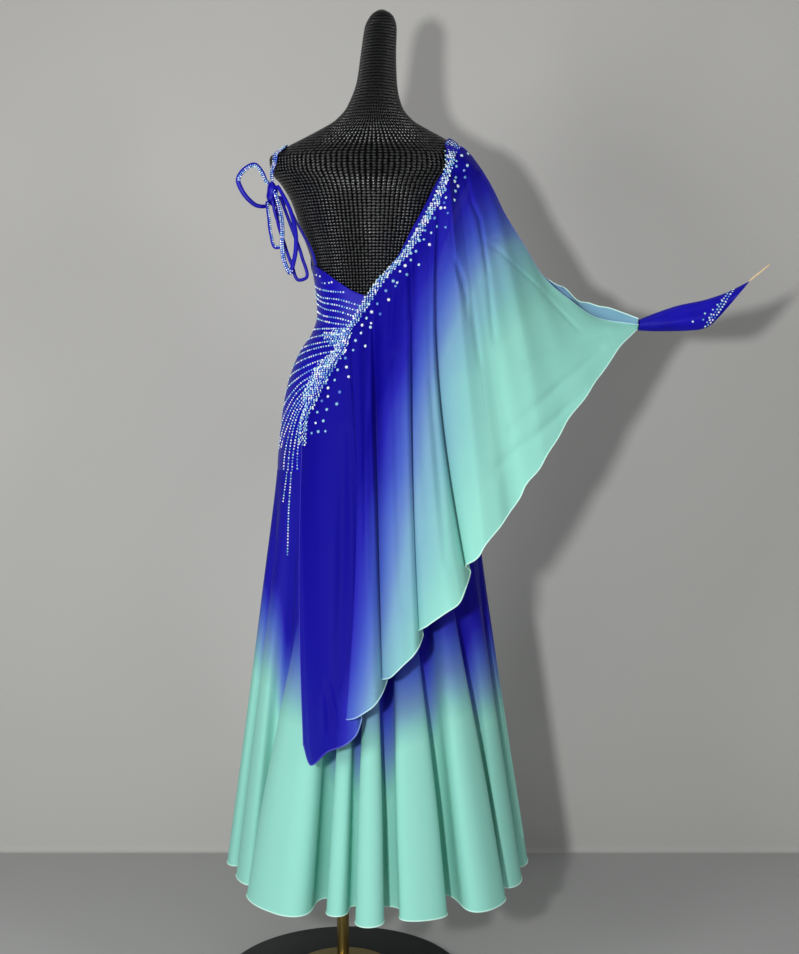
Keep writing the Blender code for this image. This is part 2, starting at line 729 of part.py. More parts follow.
def addStrap(name, rows, material):
    steps = 2
    positions = np.linspace(0, len(rows) - 1, (len(rows) - 1) * steps + 1)
    angle, z, lift = columnsAt(rows, positions)
    angle = np.radians(angle)
    normals = surfaceNormals(bodySurface, angle, z)
    middle = bodySurface(angle, z)
    path = middle + normals * lift[:, None]
    along = np.gradient(path, axis=0)
    along /= np.linalg.norm(along, axis=1, keepdims=True)
    across = np.cross(normals, along)
    across /= np.linalg.norm(across, axis=1, keepdims=True)
    halfWidth = strapWidth / 2
    corners = ((-1, 0), (1, 0), (1, 1), (-1, 1))
    rings = [
        [p + a * side * halfWidth + n * up * strapThickness for side, up in corners]
        for p, a, n in zip(path, across, normals)
    ]
    addRings(name, rings, material)


def buildStrapsAndBow():
    crepe = makeMaterial("royal_blue_crepe_trim", (0.010, 0.004, 0.30), 0.5)
    addStrap("strap_shoulder", shoulderStrapRows, crepe)
    addStrap("strap_side", sideStrapRows, crepe)
    sides = 10
    turns = np.arange(sides) * 2 * math.pi / sides
    halfX, halfY, halfZ = knotHalfSizes
    rings = []
    for latitude in np.radians((-72, -45, -15, 15, 45, 72)):
        ring = np.stack([
            knotMiddle[0] + halfX * math.cos(latitude) * np.cos(turns),
            knotMiddle[1] + halfY * math.cos(latitude) * np.sin(turns),
            turns * 0 + knotMiddle[2] + halfZ * math.sin(latitude),
        ], -1)
        rings.append(ring)
    addRings("bow_knot", rings, crepe)
    for name, (leaving, points, returning) in bowLoops.items():
        start = knotFace(leaving)
        finish = knotFace(returning)
        between = smoothRoute([start[1], *points, finish[1]], bowPointsPerLoop - 2)
        route = np.concatenate([start[:1], between, finish[:1]])
        addRings(name, cordRings(route, cordRadius, bowCordSides), crepe)


for thing in list(bpy.data.objects):
    bpy.data.objects.remove(thing, do_unlink=True)

buildStand()
buildTorso()
buildBodice()
buildSkirt()
buildFloats()
buildGauntlet()
buildFingerLoop()
buildStrapsAndBow()
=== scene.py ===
# The looks of a ballroom dance dress on its limbless form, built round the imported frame.
# Metres, +Z up. The back of the dress faces -Y, the wearer's right arm reaches along +X.
import math

import bpy
import numpy as np
from mathutils.bvhtree import BVHTree
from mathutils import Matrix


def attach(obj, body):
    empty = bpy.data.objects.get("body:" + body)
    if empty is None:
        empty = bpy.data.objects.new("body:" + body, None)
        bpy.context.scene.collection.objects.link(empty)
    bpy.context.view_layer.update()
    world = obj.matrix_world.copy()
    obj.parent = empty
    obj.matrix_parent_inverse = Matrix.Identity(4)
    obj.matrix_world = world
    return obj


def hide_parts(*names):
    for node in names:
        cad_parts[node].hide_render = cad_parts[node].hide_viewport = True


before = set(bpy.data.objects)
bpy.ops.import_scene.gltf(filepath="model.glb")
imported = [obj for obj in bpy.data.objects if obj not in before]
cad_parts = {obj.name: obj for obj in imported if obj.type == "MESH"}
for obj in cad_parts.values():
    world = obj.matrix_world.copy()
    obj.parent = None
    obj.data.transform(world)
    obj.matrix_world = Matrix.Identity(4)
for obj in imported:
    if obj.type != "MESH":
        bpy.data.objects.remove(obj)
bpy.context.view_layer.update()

# What the whole dress hangs on: height, middle, half width, depth to the back, depth to the front
form = {
    "rows": (
        (0.860, 0.062, 0.150, 0.095, 0.090),
        (0.920, 0.062, 0.166, 0.110, 0.100),
        (0.985, 0.062, 0.177, 0.121, 0.107),
        (1.040, 0.062, 0.173, 0.119, 0.105),
        (1.110, 0.062, 0.164, 0.106, 0.102),
        (1.165, 0.062, 0.150, 0.094, 0.098),
        (1.205, 0.062, 0.132, 0.087, 0.094),
        (1.235, 0.062, 0.112, 0.083, 0.090),
        (1.270, 0.062, 0.102, 0.082, 0.089),
        (1.315, 0.062, 0.105, 0.088, 0.100),
        (1.370, 0.062, 0.116, 0.097, 0.122),
        (1.425, 0.062, 0.135, 0.104, 0.128),
        (1.475, 0.062, 0.152, 0.102, 0.112),
        (1.505, 0.062, 0.170, 0.093, 0.094),
        (1.529, 0.062, 0.189, 0.080, 0.080),
        (1.552, 0.062, 0.191, 0.067, 0.067),
        (1.570, 0.062, 0.164, 0.055, 0.056),
        (1.588, 0.062, 0.129, 0.048, 0.050),
        (1.604, 0.062, 0.098, 0.043, 0.046),
        (1.620, 0.062, 0.071, 0.041, 0.044),
        (1.645, 0.063, 0.050, 0.039, 0.042),
        (1.690, 0.067, 0.0365, 0.036, 0.038),
        (1.740, 0.070, 0.032, 0.033, 0.034),
        (1.785, 0.074, 0.029, 0.029, 0.029),
        (1.808, 0.076, 0.019, 0.019, 0.019),
        (1.816, 0.076, 0.006, 0.006, 0.006),
    ),
    "middleX": 0.062,
    "sides": 144,
    "ringStep": 0.005,
    "cellSize": 0.0054, "cellShape": 1.18,  # the pads embossed in its cover, and how wide they are
    "coverRadius": 0.115,     # of a mean ring: the cover's pads keep one size at every level
    "shoulderDrop": 0.020, "dropHeight": 1.559, "dropReach": 0.018,  # the right shoulder slopes more
}


def linear(hexColour):
    # an sRGB hex value as the linear colour that a socket takes
    parts = [int(hexColour[i:i + 2], 16) / 255 for i in (1, 3, 5)]
    return tuple(c / 12.92 if c <= 0.04045 else ((c + 0.055) / 1.055) ** 2.4 for c in parts) + (1.0,)


def unit(vectors):
    # each vector divided by its own length
    return vectors / np.maximum(np.linalg.norm(vectors, axis=-1, keepdims=True), 1e-12)


def cubicPieces(keys, values, slopes, x):
    # a curve through a table's values, with a given slope at each
    i = np.clip(np.searchsorted(keys, x, side="right") - 1, 0, len(keys) - 2)
    h = keys[i + 1] - keys[i]
    t = (x - keys[i]) / h
    if values.ndim > 1:
        h = h[:, None]
        t = t[:, None]
    start = (1 + 2 * t) * (1 - t) ** 2 * values[i] + t * (1 - t) ** 2 * h * slopes[i]
    end = t ** 2 * (3 - 2 * t) * values[i + 1] + t ** 2 * (t - 1) * h * slopes[i + 1]
    return start + end


def throughRows(keys, values, x):
    # rounded interpolation that never overshoots: slopes are harmonic means, flat at a turn
    keys = np.asarray(keys, float)
    values = np.asarray(values, float)
    steep = np.diff(values) / np.diff(keys)
    same = steep[1:] * steep[:-1] > 0
    mean = 2 * steep[1:] * steep[:-1] / np.where(same, steep[1:] + steep[:-1], 1)
    slopes = np.concatenate([steep[:1], np.where(same, mean, 0), steep[-1:]])
    return cubicPieces(keys, values, slopes, np.clip(x, keys[0], keys[-1]))


def columnsAt(rows, positions):
    # every column of a table, read at positions counted in rows
    keys = range(len(rows))
    return [throughRows(keys, column, positions) for column in zip(*rows)]


def eased(x, begin, end):
    # 0 up to begin, 1 from end on, smooth between; end may be the lower of the two
    t = np.clip((x - begin) / (end - begin), 0, 1)
    return t * t * (3 - 2 * t)


def anglesRound(count):
    # angles evenly spaced over one turn, in radians
    return np.arange(count) * 2 * math.pi / count


def waves(x, lengths, seed):
    # a sum of sines of uneven length and phase, within -1..1
    phases = np.random.default_rng(seed).uniform(0, 2 * math.pi, len(lengths))
    return sum(np.sin(2 * math.pi * x / l + p) for l, p in zip(lengths, phases)) / len(lengths)


def surfaceNormals(surface, u, v):
    # unit normals of a surface of two parameters, from its own small steps
    step = 1e-4
    du = surface(u + step, v) - surface(u - step, v)
    dv = surface(u, v + step) - surface(u, v - step)
    return unit(np.cross(du, dv))


def differences(points, wrap):
    # central differences along the first axis, over the join where the points close
    if not wrap:
        return np.gradient(points, axis=0)
    return np.gradient(np.concatenate([points[-1:], points, points[:1]]), axis=0)[1:-1]


def gridNormals(points, wrap=False):
    # unit normals of a grid of points, from its neighbours
    return unit(np.cross(differences(points, wrap), np.gradient(points, axis=1)))


def gridQuads(columns, rows, first=0, wrap=False, flip=False):
    # the quads of a grid numbered column after column
    i = np.arange(columns if wrap else columns - 1)[:, None]
    j = np.arange(rows - 1)[None]
    a = first + i * rows + j
    b = first + (i + 1) % columns * rows + j
    quads = np.stack([a, b, b + 1, a + 1], -1).reshape(-1, 4)
    return quads[:, ::-1] if flip else quads


def makePiece(name, points, faces, material, uv=None, attributes=None, sharpAngle=50):
    # a visible piece from points and faces, smooth except where it turns more than sharpAngle
    mesh = bpy.data.meshes.new(name)
    mesh.from_pydata(np.asarray(points).tolist(), [], [list(face) for face in faces])
    mesh.materials.append(material)
    if uv is not None:
        corners = np.empty(len(mesh.loops), np.int32)
        mesh.loops.foreach_get("vertex_index", corners)
        mesh.uv_layers.new(name="UVMap").data.foreach_set("uv", uv[corners].ravel().astype(np.float32))
    for key, values in (attributes or {}).items():
        layer = mesh.attributes.new(key, "FLOAT", "POINT")
        layer.data.foreach_set("value", np.asarray(values, np.float32).ravel())
    mesh.shade_smooth()
    mesh.set_sharp_from_angle(angle=math.radians(sharpAngle))
    piece = bpy.data.objects.new(name, mesh)
    bpy.context.scene.collection.objects.link(piece)
    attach(piece, "root")
    return piece


def standsFor(piece, node):
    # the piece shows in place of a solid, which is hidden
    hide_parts(node)


def arcLengths(points, axis=0):
    # how far each point lies along its route, or along its own row or column of a grid
    steps = np.linalg.norm(np.diff(points, axis=axis), axis=-1)
    zeros = np.zeros_like(np.take(steps, [0], axis=axis))
    return np.concatenate([zeros, np.cumsum(steps, axis=axis)], axis=axis)


def clothWall(name, points, thickness, material, attributes=None, wrap=False):
    # a thin closed wall: the grid of points is its outer face, and the inner face lies a
    # thickness behind it, against the normals. UV is the distance along the cloth in metres.
    columns, rows = points.shape[:2]
    count = columns * rows
    normals = gridNormals(points, wrap)
    both = np.concatenate([points.reshape(-1, 3), (points - normals * thickness).reshape(-1, 3)])
    faces = gridQuads(columns, rows, 0, wrap).tolist()
    faces += gridQuads(columns, rows, count, wrap, flip=True).tolist()
    i = np.arange(columns if wrap else columns - 1)
    a = i * rows
    b = (i + 1) % columns * rows
    faces += np.stack([b, a, a + count, b + count], -1).tolist()
    c = a + rows - 1
    d = b + rows - 1
    faces += np.stack([c, d, d + count, c + count], -1).tolist()
    if not wrap:
        j = np.arange(rows - 1)
        e = (columns - 1) * rows + j
        faces += np.stack([j, j + 1, j + 1 + count, j + count], -1).tolist()
        faces += np.stack([e + 1, e, e + count, e + 1 + count], -1).tolist()
    middle = rows // 2
    across = np.broadcast_to(arcLengths(points, 0)[:, middle:middle + 1], (columns, rows))
    along = arcLengths(points, 1)
    uv = np.stack([across, along], -1).reshape(-1, 2)
    doubled = {key: np.tile(np.asarray(value).ravel(), 2) for key, value in (attributes or {}).items()}
    return makePiece(name, both, faces, material, np.tile(uv, (2, 1)), doubled)


def ringStack(name, rings, material, uv=None, attributes=None):
    # a solid of closed rings (ring, side, xyz), shut by a fan at each end; an attribute has one
    # value a ring
    count, sides = rings.shape[:2]
    points = np.concatenate([rings.reshape(-1, 3), rings[:1].mean(1), rings[-1:].mean(1)])
    i = np.arange(count - 1)[:, None] * sides
    j = np.arange(sides)[None]
    k = (j + 1) % sides
    faces = np.stack([i + j, i + k, i + k + sides, i + j + sides], -1).reshape(-1, 4).tolist()
    side = j[0]
    top = (count - 1) * sides
    faces += np.stack([k[0], side, side * 0 + count * sides], -1).tolist()
    faces += np.stack([top + side, top + k[0], side * 0 + count * sides + 1], -1).tolist()
    spread = {key: np.concatenate([np.repeat(value, sides), value[:1], value[-1:]])
              for key, value in (attributes or {}).items()}
    return makePiece(name, points, faces, material, uv, spread)


def turned(name, profile, sides, material):
    # a lathe round the pole's own axis through (radius, height)
    turns = anglesRound(sides)
    radius, height = np.array(profile).T
    rings = np.stack([
        radius[:, None] * np.cos(turns), radius[:, None] * np.sin(turns),
        np.broadcast_to(height[:, None], (len(profile), sides)),
    ], -1)
    return ringStack(name, rings, material)


def cordRings(route, reference, radius, sides, closed=False, flat=1.0):
    # circles square to a route, or ovals whose thickness along the reference direction is only
    # flat times their width; the route never runs along the reference
    along = unit(differences(route, closed))
    side = unit(np.cross(along, reference))
    up = np.cross(side, along)
    turns = anglesRound(sides)
    radius = np.broadcast_to(radius, len(route))[:, None, None]
    return route[:, None] + radius * (
        np.cos(turns)[None, :, None] * side[:, None] + flat * np.sin(turns)[None, :, None] * up[:, None]
    )


def cordAlong(name, route, reference, radius, sides, material, closed=False, flat=1.0, attributes=None):
    # a cord: rings joined one after another, the last to the first where it is closed
    rings = cordRings(route, reference, radius, sides, closed, flat)
    if not closed:
        return ringStack(name, rings, material, attributes=attributes)
    faces = gridQuads(sides, len(route), wrap=True)
    points = rings.transpose(1, 0, 2).reshape(-1, 3)
    last = np.arange(sides) * len(route) + len(route) - 1
    first = np.arange(sides) * len(route)
    joint = np.stack([last, np.roll(last, -1), np.roll(first, -1), first], -1)
    return makePiece(name, points, np.concatenate([faces, joint]).tolist(), material)


def stonesAt(name, centres, normals, radii, material, facets=6):
    # flat-backed stones: a girdle, a smaller table above it and a flat back, all at once
    centres = np.asarray(centres, float)
    normals = np.asarray(normals, float)
    radii = np.asarray(radii, float)[:, None, None]
    helper = np.where(np.abs(normals[:, 2:]) < 0.9, (0.0, 0.0, 1.0), (1.0, 0.0, 0.0))
    side = unit(np.cross(normals, helper))
    up = np.cross(normals, side)
    spin = np.random.default_rng(7).uniform(0, math.pi, len(centres))[:, None]
    turns = anglesRound(facets)[None] + spin
    circle = np.cos(turns)[..., None] * side[:, None] + np.sin(turns)[..., None] * up[:, None]
    tableShare = 0.55         # the table's radius and height, as shares of the girdle's radius
    girdle = centres[:, None] + radii * circle
    table = centres[:, None] + radii * (tableShare * circle + tableShare * normals[:, None])
    points = np.concatenate([girdle, table], 1).reshape(-1, 3)
    base = np.arange(len(centres))[:, None, None] * 2 * facets
    j = np.arange(facets)
    k = (j + 1) % facets
    sides = (base + np.stack([j, k, k + facets, j + facets], -1)[None]).reshape(-1, 4).tolist()
    tops = (base[:, 0] + facets + j[None]).tolist()
    backs = (base[:, 0] + j[None, ::-1]).tolist()
    spot = np.repeat(np.arange(len(centres)), 2 * facets)
    return makePiece(name, points, sides + tops + backs, material, attributes={"spot": spot}, sharpAngle=15)


def addNode(material, kind, settings=None, links=None):
    # one node: settings are properties or input values by name, links name the sockets to feed
    node = material.node_tree.nodes.new(kind)
    for key, value in (settings or {}).items():
        if isinstance(key, str) and hasattr(node, key):
            setattr(node, key, value)
        else:
            node.inputs[key].default_value = value
    for key, socket in (links or {}).items():
        material.node_tree.links.new(socket, node.inputs[key])
    return node


def newMaterial(name, **sockets):
    # a material and its shader, with the sockets set by name
    material = bpy.data.materials.new(name)
    material.use_nodes = True
    shader = material.node_tree.nodes["Principled BSDF"]
    for key, value in sockets.items():
        shader.inputs[key.replace("_", " ")].default_value = value
    return material, shader


def rampOf(material, factor, stops):
    # the colour that a factor picks, blended between stops of place and colour
    ramp = addNode(material, "ShaderNodeValToRGB", links={"Fac": factor})
    while len(ramp.color_ramp.elements) < len(stops):
        ramp.color_ramp.elements.new(0.5)
    for element, (position, colour) in zip(ramp.color_ramp.elements, stops):
        element.position = position
        element.color = linear(colour)
    return ramp.outputs["Color"]


def link(material, output, shader, socket):
    # feed an output into one of the shader's sockets
    material.node_tree.links.new(output, shader.inputs[socket])


def noiseIn(material, space, scale, detail, stretch=None):
    # noise in metres, of the piece ("Object") or along its cloth ("UV"), at so many cells a metre
    vector = addNode(material, "ShaderNodeTexCoord").outputs[space]
    if stretch:
        vector = addNode(material, "ShaderNodeMapping", {"Scale": stretch}, {"Vector": vector}).outputs[0]
    noise = addNode(material, "ShaderNodeTexNoise", {"Scale": scale, "Detail": detail}, {"Vector": vector})
    return noise.outputs["Fac"]


def addBump(material, shader, height, strength, distance):
    # a height read as bumps of the finish
    bump = addNode(material, "ShaderNodeBump", {"Strength": strength, "Distance": distance},
                   {"Height": height})
    link(material, bump.outputs[0], shader, "Normal")


def addTint(material, shader, factor, stops):
    # the shader's colour, picked by a factor
    link(material, rampOf(material, factor, stops), shader, "Base Color")


def dyedCloth(name, alpha, roughness, grainMm, streakMm):
    # dip-dyed cloth: an attribute says how far the dye has faded, a ramp turns it into colour,
    # slow noise blurs the dye's edge, and streaks along the cloth catch the light as its crinkle
    material, shader = newMaterial(
        name, Roughness=roughness, Sheen_Weight=0.02, Sheen_Roughness=0.4, Alpha=alpha,
        Specular_IOR_Level=0.10)
    dye = addNode(material, "ShaderNodeAttribute", {"attribute_name": "dye"})
    shift = addNode(material, "ShaderNodeMath", {"operation": "MULTIPLY_ADD", 1: 0.08, 2: -0.04},
                    {0: noiseIn(material, "Object", 9.0, 3.0)})
    faded = addNode(material, "ShaderNodeMath", {"operation": "ADD"},
                    {0: dye.outputs["Fac"], 1: shift.outputs[0]})
    addTint(material, shader, faded.outputs[0], (
        (0.02, "#0c0394"), (0.18, "#221eac"), (0.32, "#3644b8"), (0.45, "#4a65c2"),
        (0.59, "#6485c4"), (0.73, "#7aa9c6"), (0.86, "#8accc6"), (0.97, "#97ddce"),
    ))
    streakLength = 22         # times the streak's width
    streaks = noiseIn(material, "UV", 1.0, 4.0, (1000 / streakMm, 1000 / (streakMm * streakLength), 1.0))
    grain = noiseIn(material, "UV", 1000 / grainMm, 2.0)
    both = addNode(material, "ShaderNodeMath", {"operation": "MULTIPLY_ADD", 1: 0.25},
                   {0: grain, 2: streaks})
    addBump(material, shader, both.outputs[0], 0.16, 0.0010)
    return material


def stretchCrepe():
    # matt-backed stretch crepe, satin side out: saturated royal blue, a low broad sheen and a
    # fine pebbled grain
    material, shader = newMaterial("stretchCrepe", Roughness=0.42, Sheen_Weight=0.03,
                                   Sheen_Roughness=0.35, Specular_IOR_Level=0.20)
    addTint(material, shader, noiseIn(material, "Object", 14.0, 3.0), (
        (0.30, "#0c0492"), (0.55, "#1006a2"), (0.80, "#180ab0")))
    addBump(material, shader, noiseIn(material, "Object", 1000 / 1.6, 2.0), 0.25, 0.0006)
    return material


def rolledHem():
    # overlocked rolled edge, dyed with its cloth: a shade paler than it, with tight ribs
    material, shader = newMaterial("rolledHemThread", Roughness=0.5, Sheen_Weight=0.1)
    dye = addNode(material, "ShaderNodeAttribute", {"attribute_name": "dye"})
    addTint(material, shader, dye.outputs["Fac"], (
        (0.05, "#1a10a6"), (0.30, "#4a5cc8"), (0.50, "#86a8e0"), (0.72, "#b4dce6"), (0.92, "#c8f2e6")))
    addBump(material, shader, noiseIn(material, "Object", 1000 / 2.5, 1.0), 0.4, 0.0006)
    return material


def crystal():
    # foil-backed glass stones with a rainbow coat: near-white, aqua or lilac by turns, glossy
    material, shader = newMaterial("coatedCrystal", Roughness=0.10, IOR=1.7, Coat_Weight=0.5,
                                   Coat_Roughness=0.05)
    spot = addNode(material, "ShaderNodeAttribute", {"attribute_name": "spot"})
    turn = addNode(material, "ShaderNodeTexWhiteNoise", {"noise_dimensions": "1D"},
                   {"W": spot.outputs["Fac"]})
    addTint(material, shader, turn.outputs["Value"], (
        (0.00, "#4a76d4"), (0.24, "#80bee2"), (0.46, "#b0e2ea"), (0.66, "#dcf5fb"), (0.84, "#ffffff")))
    return material


def embossedCover():
    # black knit over a foam torso, pressed into small glossy pads with dull grooves between. Its colour
    # paints each pad lighter in its middle, a painted highlight, and the grooves near black, painted shade
    size = form["cellSize"]
    material, shader = newMaterial("embossedKnitCover", Roughness=0.30)
    place = addNode(material, "ShaderNodeTexCoord")
    stretch = addNode(material, "ShaderNodeMapping",
                      {"Scale": (1 / (size * form["cellShape"]), 1 / size, 1.0)},
                      {"Vector": place.outputs["UV"]})
    cells = addNode(material, "ShaderNodeTexVoronoi",
                    {"feature": "F1", "Scale": 1.0, "Randomness": 0.14},
                    {"Vector": stretch.outputs[0]}).outputs["Distance"]
    # painted highlight on the pads' middles, painted shade in the grooves
    addTint(material, shader, cells, ((0.05, "#2a2c2f"), (0.30, "#17181a"), (0.46, "#010101")))
    gloss = addNode(material, "ShaderNodeMapRange",
                    {"From Min": 0.26, "From Max": 0.48, "To Min": 0.90, "To Max": 0.04},
                    {"Value": cells})
    link(material, gloss.outputs[0], shader, "Specular IOR Level")
    height = addNode(material, "ShaderNodeMapRange",
                     {"From Min": 0.12, "From Max": 0.62, "To Min": 1.0, "To Max": 0.0},
                     {"Value": cells})
    addBump(material, shader, height.outputs[0], 1.0, 0.0017)
    return material


def satinBrass():
    # drawn brass tube, lacquered, with fine lines along it
    material, shader = newMaterial("satinBrass", Metallic=1.0, Roughness=0.32)
    lines = noiseIn(material, "Object", 1.0, 3.0, (400.0, 400.0, 12.0))
    addTint(material, shader, lines, ((0.3, "#6f5f2e"), (0.7, "#a8935a")))
    return material


def baseEnamel():
    # stoved black enamel on spun steel: satin, with a faint orange peel
    material, shader = newMaterial("stovedEnamel", Roughness=0.50, Specular_IOR_Level=0.25)
    peel = noiseIn(material, "Object", 1000 / 5, 2.0)
    addTint(material, shader, peel, ((0.3, "#0a0e11"), (0.7, "#0f1518")))
    addBump(material, shader, peel, 0.08, 0.0005)
    return material


def coveredElastic():
    # thin elastic covered in tan yarn, its wraps showing as ribs
    material, shader = newMaterial("coveredElastic", Roughness=0.55)
    wraps = noiseIn(material, "Object", 1000 / 1.5, 1.0)
    addTint(material, shader, wraps, ((0.3, "#cdb183"), (0.7, "#efdcb8")))
    return material


def plainPaint(name, hexColour, oneSided=False):
    # matt paint with a slow, very faint unevenness; a one-sided sheet is clear from behind
    material, shader = newMaterial(name, Roughness=0.9)
    unevenness = 0.05
    base = np.array(linear(hexColour)[:3])
    ramp = addNode(material, "ShaderNodeValToRGB", links={"Fac": noiseIn(material, "Object", 1.3, 2.0)})
    ramp.color_ramp.elements[0].color = (*(base * (1 - unevenness)), 1)
    ramp.color_ramp.elements[1].color = (*(base * (1 + unevenness)), 1)
    link(material, ramp.outputs["Color"], shader, "Base Color")
    if oneSided:
        side = addNode(material, "ShaderNodeNewGeometry")
        clear = addNode(material, "ShaderNodeBsdfTransparent")
        both = addNode(material, "ShaderNodeMixShader", links={
            0: side.outputs["Backfacing"], 1: shader.outputs["BSDF"], 2: clear.outputs["BSDF"]})
        link(material, both.outputs[0], material.node_tree.nodes["Material Output"], "Surface")
    return material


chiffon = dyedCloth("dipDyedChiffon", 0.85, 0.62, 1.8, 7.0)
liningSatin = dyedCloth("dipDyedLining", 1.0, 0.5, 1.4, 14.0)
crepe = stretchCrepe()
hemThread = rolledHem()
stone = crystal()
cover = embossedCover()
brass = satinBrass()
enamel = baseEnamel()
elastic = coveredElastic()
print("materials ready")


def bodySizes(z):
    # middle, half width and both depths at a height, smooth between the rows
    keys = [row[0] for row in form["rows"]]
    return [throughRows(keys, [row[i] for row in form["rows"]], z) for i in range(1, 5)]


def bodySurface(angle, z):
    # an ellipse at every height, with its own depth to the back and to the front, narrowed by a
    # bell over height on the side of the right shoulder
    middle, width, back, front = bodySizes(z)
    depth = np.where(np.sin(angle) < 0, back, front)
    slope = form["shoulderDrop"] * np.exp(-((z - form["dropHeight"]) / form["dropReach"]) ** 2)
    width = width - slope * np.clip(np.cos(angle), 0, 1) ** 2
    return np.stack([middle + width * np.cos(angle), depth * np.sin(angle), z], -1)


def onBody(angle, z, lift):
    # a point that far off the form, along the form's own normal
    return bodySurface(angle, z) + surfaceNormals(bodySurface, angle, z) * np.asarray(lift)[..., None]


def buildForm():
    # rings up the body; its cover's map runs in metres round and up
    low = form["rows"][0][0]
    high = form["rows"][-1][0]
    z = np.linspace(low, high, int((high - low) / form["ringStep"]) + 1)
    angle, height = np.meshgrid(anglesRound(form["sides"]), z)
    around = (angle - 1.5 * math.pi) * form["coverRadius"]
    uv = np.stack([around, height], -1).reshape(-1, 2)
    uv = np.concatenate([uv, uv[:1], uv[-1:]])
    standsFor(ringStack("formTorso", bodySurface(angle, height), cover, uv), "form_torso")


# the enamelled base, the brass boss on it and the pole
stand = {
    "baseRadius": 0.231, "baseEdge": 0.010, "baseHeight": 0.018, "roundness": 0.003, "baseInside": 0.02,
    "bossRadius": 0.102, "bossBottom": 0.0183, "bossHeight": 0.007, "bossInside": 0.03,
    # the boss: how far its edge rounds in, then heights as shares of its own: the upright rim, the
    # rounding, and the crown at half its radius; last, how much wider than the pole its top ends
    "bossRounding": 0.006, "rimShare": 0.35, "roundShare": 0.55, "crownShare": 0.98, "collar": 0.004,
    "poleRadius": 0.0115, "poleBottom": 0.0256, "poleTop": 0.8597,
}


def buildStand():
    # base, boss and pole: profiles of radius and height, with quarter circles at their edges and
    # a quarter sine up the base
    s = stand
    quarter = np.radians(np.linspace(0, 90, 7))
    r = s["roundness"]
    edge = s["baseRadius"] - r
    top = s["baseEdge"]
    base = [(s["baseInside"], 0.0), (edge, 0.0)]
    base += [(edge + r * math.sin(q), r - r * math.cos(q)) for q in quarter]
    base += [(edge + r * math.cos(q), top - r + r * math.sin(q)) for q in quarter]
    width = edge - r - s["bossRadius"]
    climb = s["baseHeight"] - top
    base += [(edge - r - width * t, top + climb * math.sin(t * math.pi / 2))
             for t in np.linspace(0, 1, 12)[1:]]
    base += [(s["poleRadius"], s["baseHeight"])]
    low = s["bossBottom"]
    height = s["bossHeight"]
    radius = s["bossRadius"]
    boss = [(s["bossInside"], low), (radius, low), (radius, low + s["rimShare"] * height)]
    boss += [(radius - s["bossRounding"] * math.sin(q),
              low + height * (s["rimShare"] + s["roundShare"] * (1 - math.cos(q)))) for q in quarter]
    boss += [(radius * 0.5, low + height * s["crownShare"])]
    boss += [(s["poleRadius"] + s["collar"], low + height)]
    pole = [(s["poleRadius"], s["poleBottom"]), (s["poleRadius"], s["poleTop"])]
    standsFor(turned("standBase", base, 160, enamel), "form_base")
    standsFor(turned("standBoss", boss, 144, brass), "form_boss")
    standsFor(turned("standPole", pole, 64, brass), "form_pole")


buildForm()
buildStand()
print("form and stand ready")


# the back and front panels, from the hip seam up
bodice = {
    "hipSeamZ": 0.985,
    "lift": 0.0033,           # its outer face off the form
    "shoulderEase": 0.0060, "easeHeight": 1.548, "easeReach": 0.03,  # and more at the shoulder
    "swing": 60,              # a column turns to its edge angle only near the top: a power
    "thickness": 0.0009,
    "bindingRadius": 0.0013,
    "columns": 420,
    "levels": 90,
    # top edge of the back: angle at the hip seam, angle at the edge, height
    "backEdge": (
        (180.15, 180.15, 1.352), (198.0, 198.0, 1.357), (216.0, 216.0, 1.345),
        (234.0, 234.0, 1.325), (252.0, 252.0, 1.306), (268.0, 268.0, 1.297),
        (274.5, 274.5, 1.325), (283.5, 283.5, 1.347), (292.5, 292.5, 1.371),
        (301.5, 301.5, 1.420), (306.0, 306.0, 1.444), (310.5, 310.5, 1.475),
        (312.4, 312.4, 1.508), (313.4, 313.4, 1.545), (318.0, 324.0, 1.569),
        (319.5, 340.0, 1.580), (321.0, 357.0, 1.583), (322.5, 357.0, 1.575),
        (324.0, 345.0, 1.571), (325.5, 334.0, 1.562), (327.0, 325.5, 1.548),
        (333.0, 332.0, 1.490), (339.0, 338.5, 1.462), (346.5, 346.5, 1.440),
        (359.85, 359.85, 1.425),
    ),
    "frontEdge": (
        (0.15, 0.15, 1.425), (13.5, 13.5, 1.440), (21.0, 21.5, 1.462),
        (27.0, 28.0, 1.490), (33.0, 34.5, 1.548), (34.5, 26.0, 1.562),
        (36.0, 15.0, 1.571), (37.5, 3.0, 1.575), (39.0, 3.0, 1.583),
        (40.5, 20.0, 1.580), (42.0, 34.0, 1.569), (43.5, 43.5, 1.545),
        (46.0, 46.5, 1.510), (54.0, 55.0, 1.474), (63.0, 63.0, 1.446),
        (81.0, 81.0, 1.408), (99.0, 99.0, 1.396), (117.0, 117.0, 1.409),
        (135.0, 135.0, 1.424), (153.0, 153.0, 1.402), (179.85, 179.85, 1.352),
    ),
    "pullRadius": 0.12,       # what turns their angles into widths
    # drag lines: angle and height where each starts and ends, depth, half width
    "pulls": (
        (186, 1.305, 214, 1.292, 0.0012, 0.006),
        (186, 1.262, 226, 1.252, 0.0014, 0.005),
        (190, 1.232, 224, 1.240, 0.0011, 0.005),
        (186, 1.182, 222, 1.206, 0.0010, 0.007),
        (352, 1.405, 330, 1.372, 0.0015, 0.008),
        (350, 1.330, 300, 1.310, 0.0012, 0.007),
        (2, 1.300, 40, 1.285, 0.0013, 0.006),
        (60, 1.262, 112, 1.250, 0.0011, 0.006),
        (124, 1.300, 172, 1.270, 0.0014, 0.007),
        (100, 1.352, 134, 1.338, 0.0010, 0.008),
    ),
}


def fromLine(x, z, x0, z0, x1, z1):
    # where the nearest point of a line lies, as a share of its length, and how far it is
    span = (x1 - x0) ** 2 + (z1 - z0) ** 2
    t = np.clip(((x - x0) * (x1 - x0) + (z - z0) * (z1 - z0)) / span, 0, 1)
    return t, np.hypot(x - x0 - t * (x1 - x0), z - z0 - t * (z1 - z0))


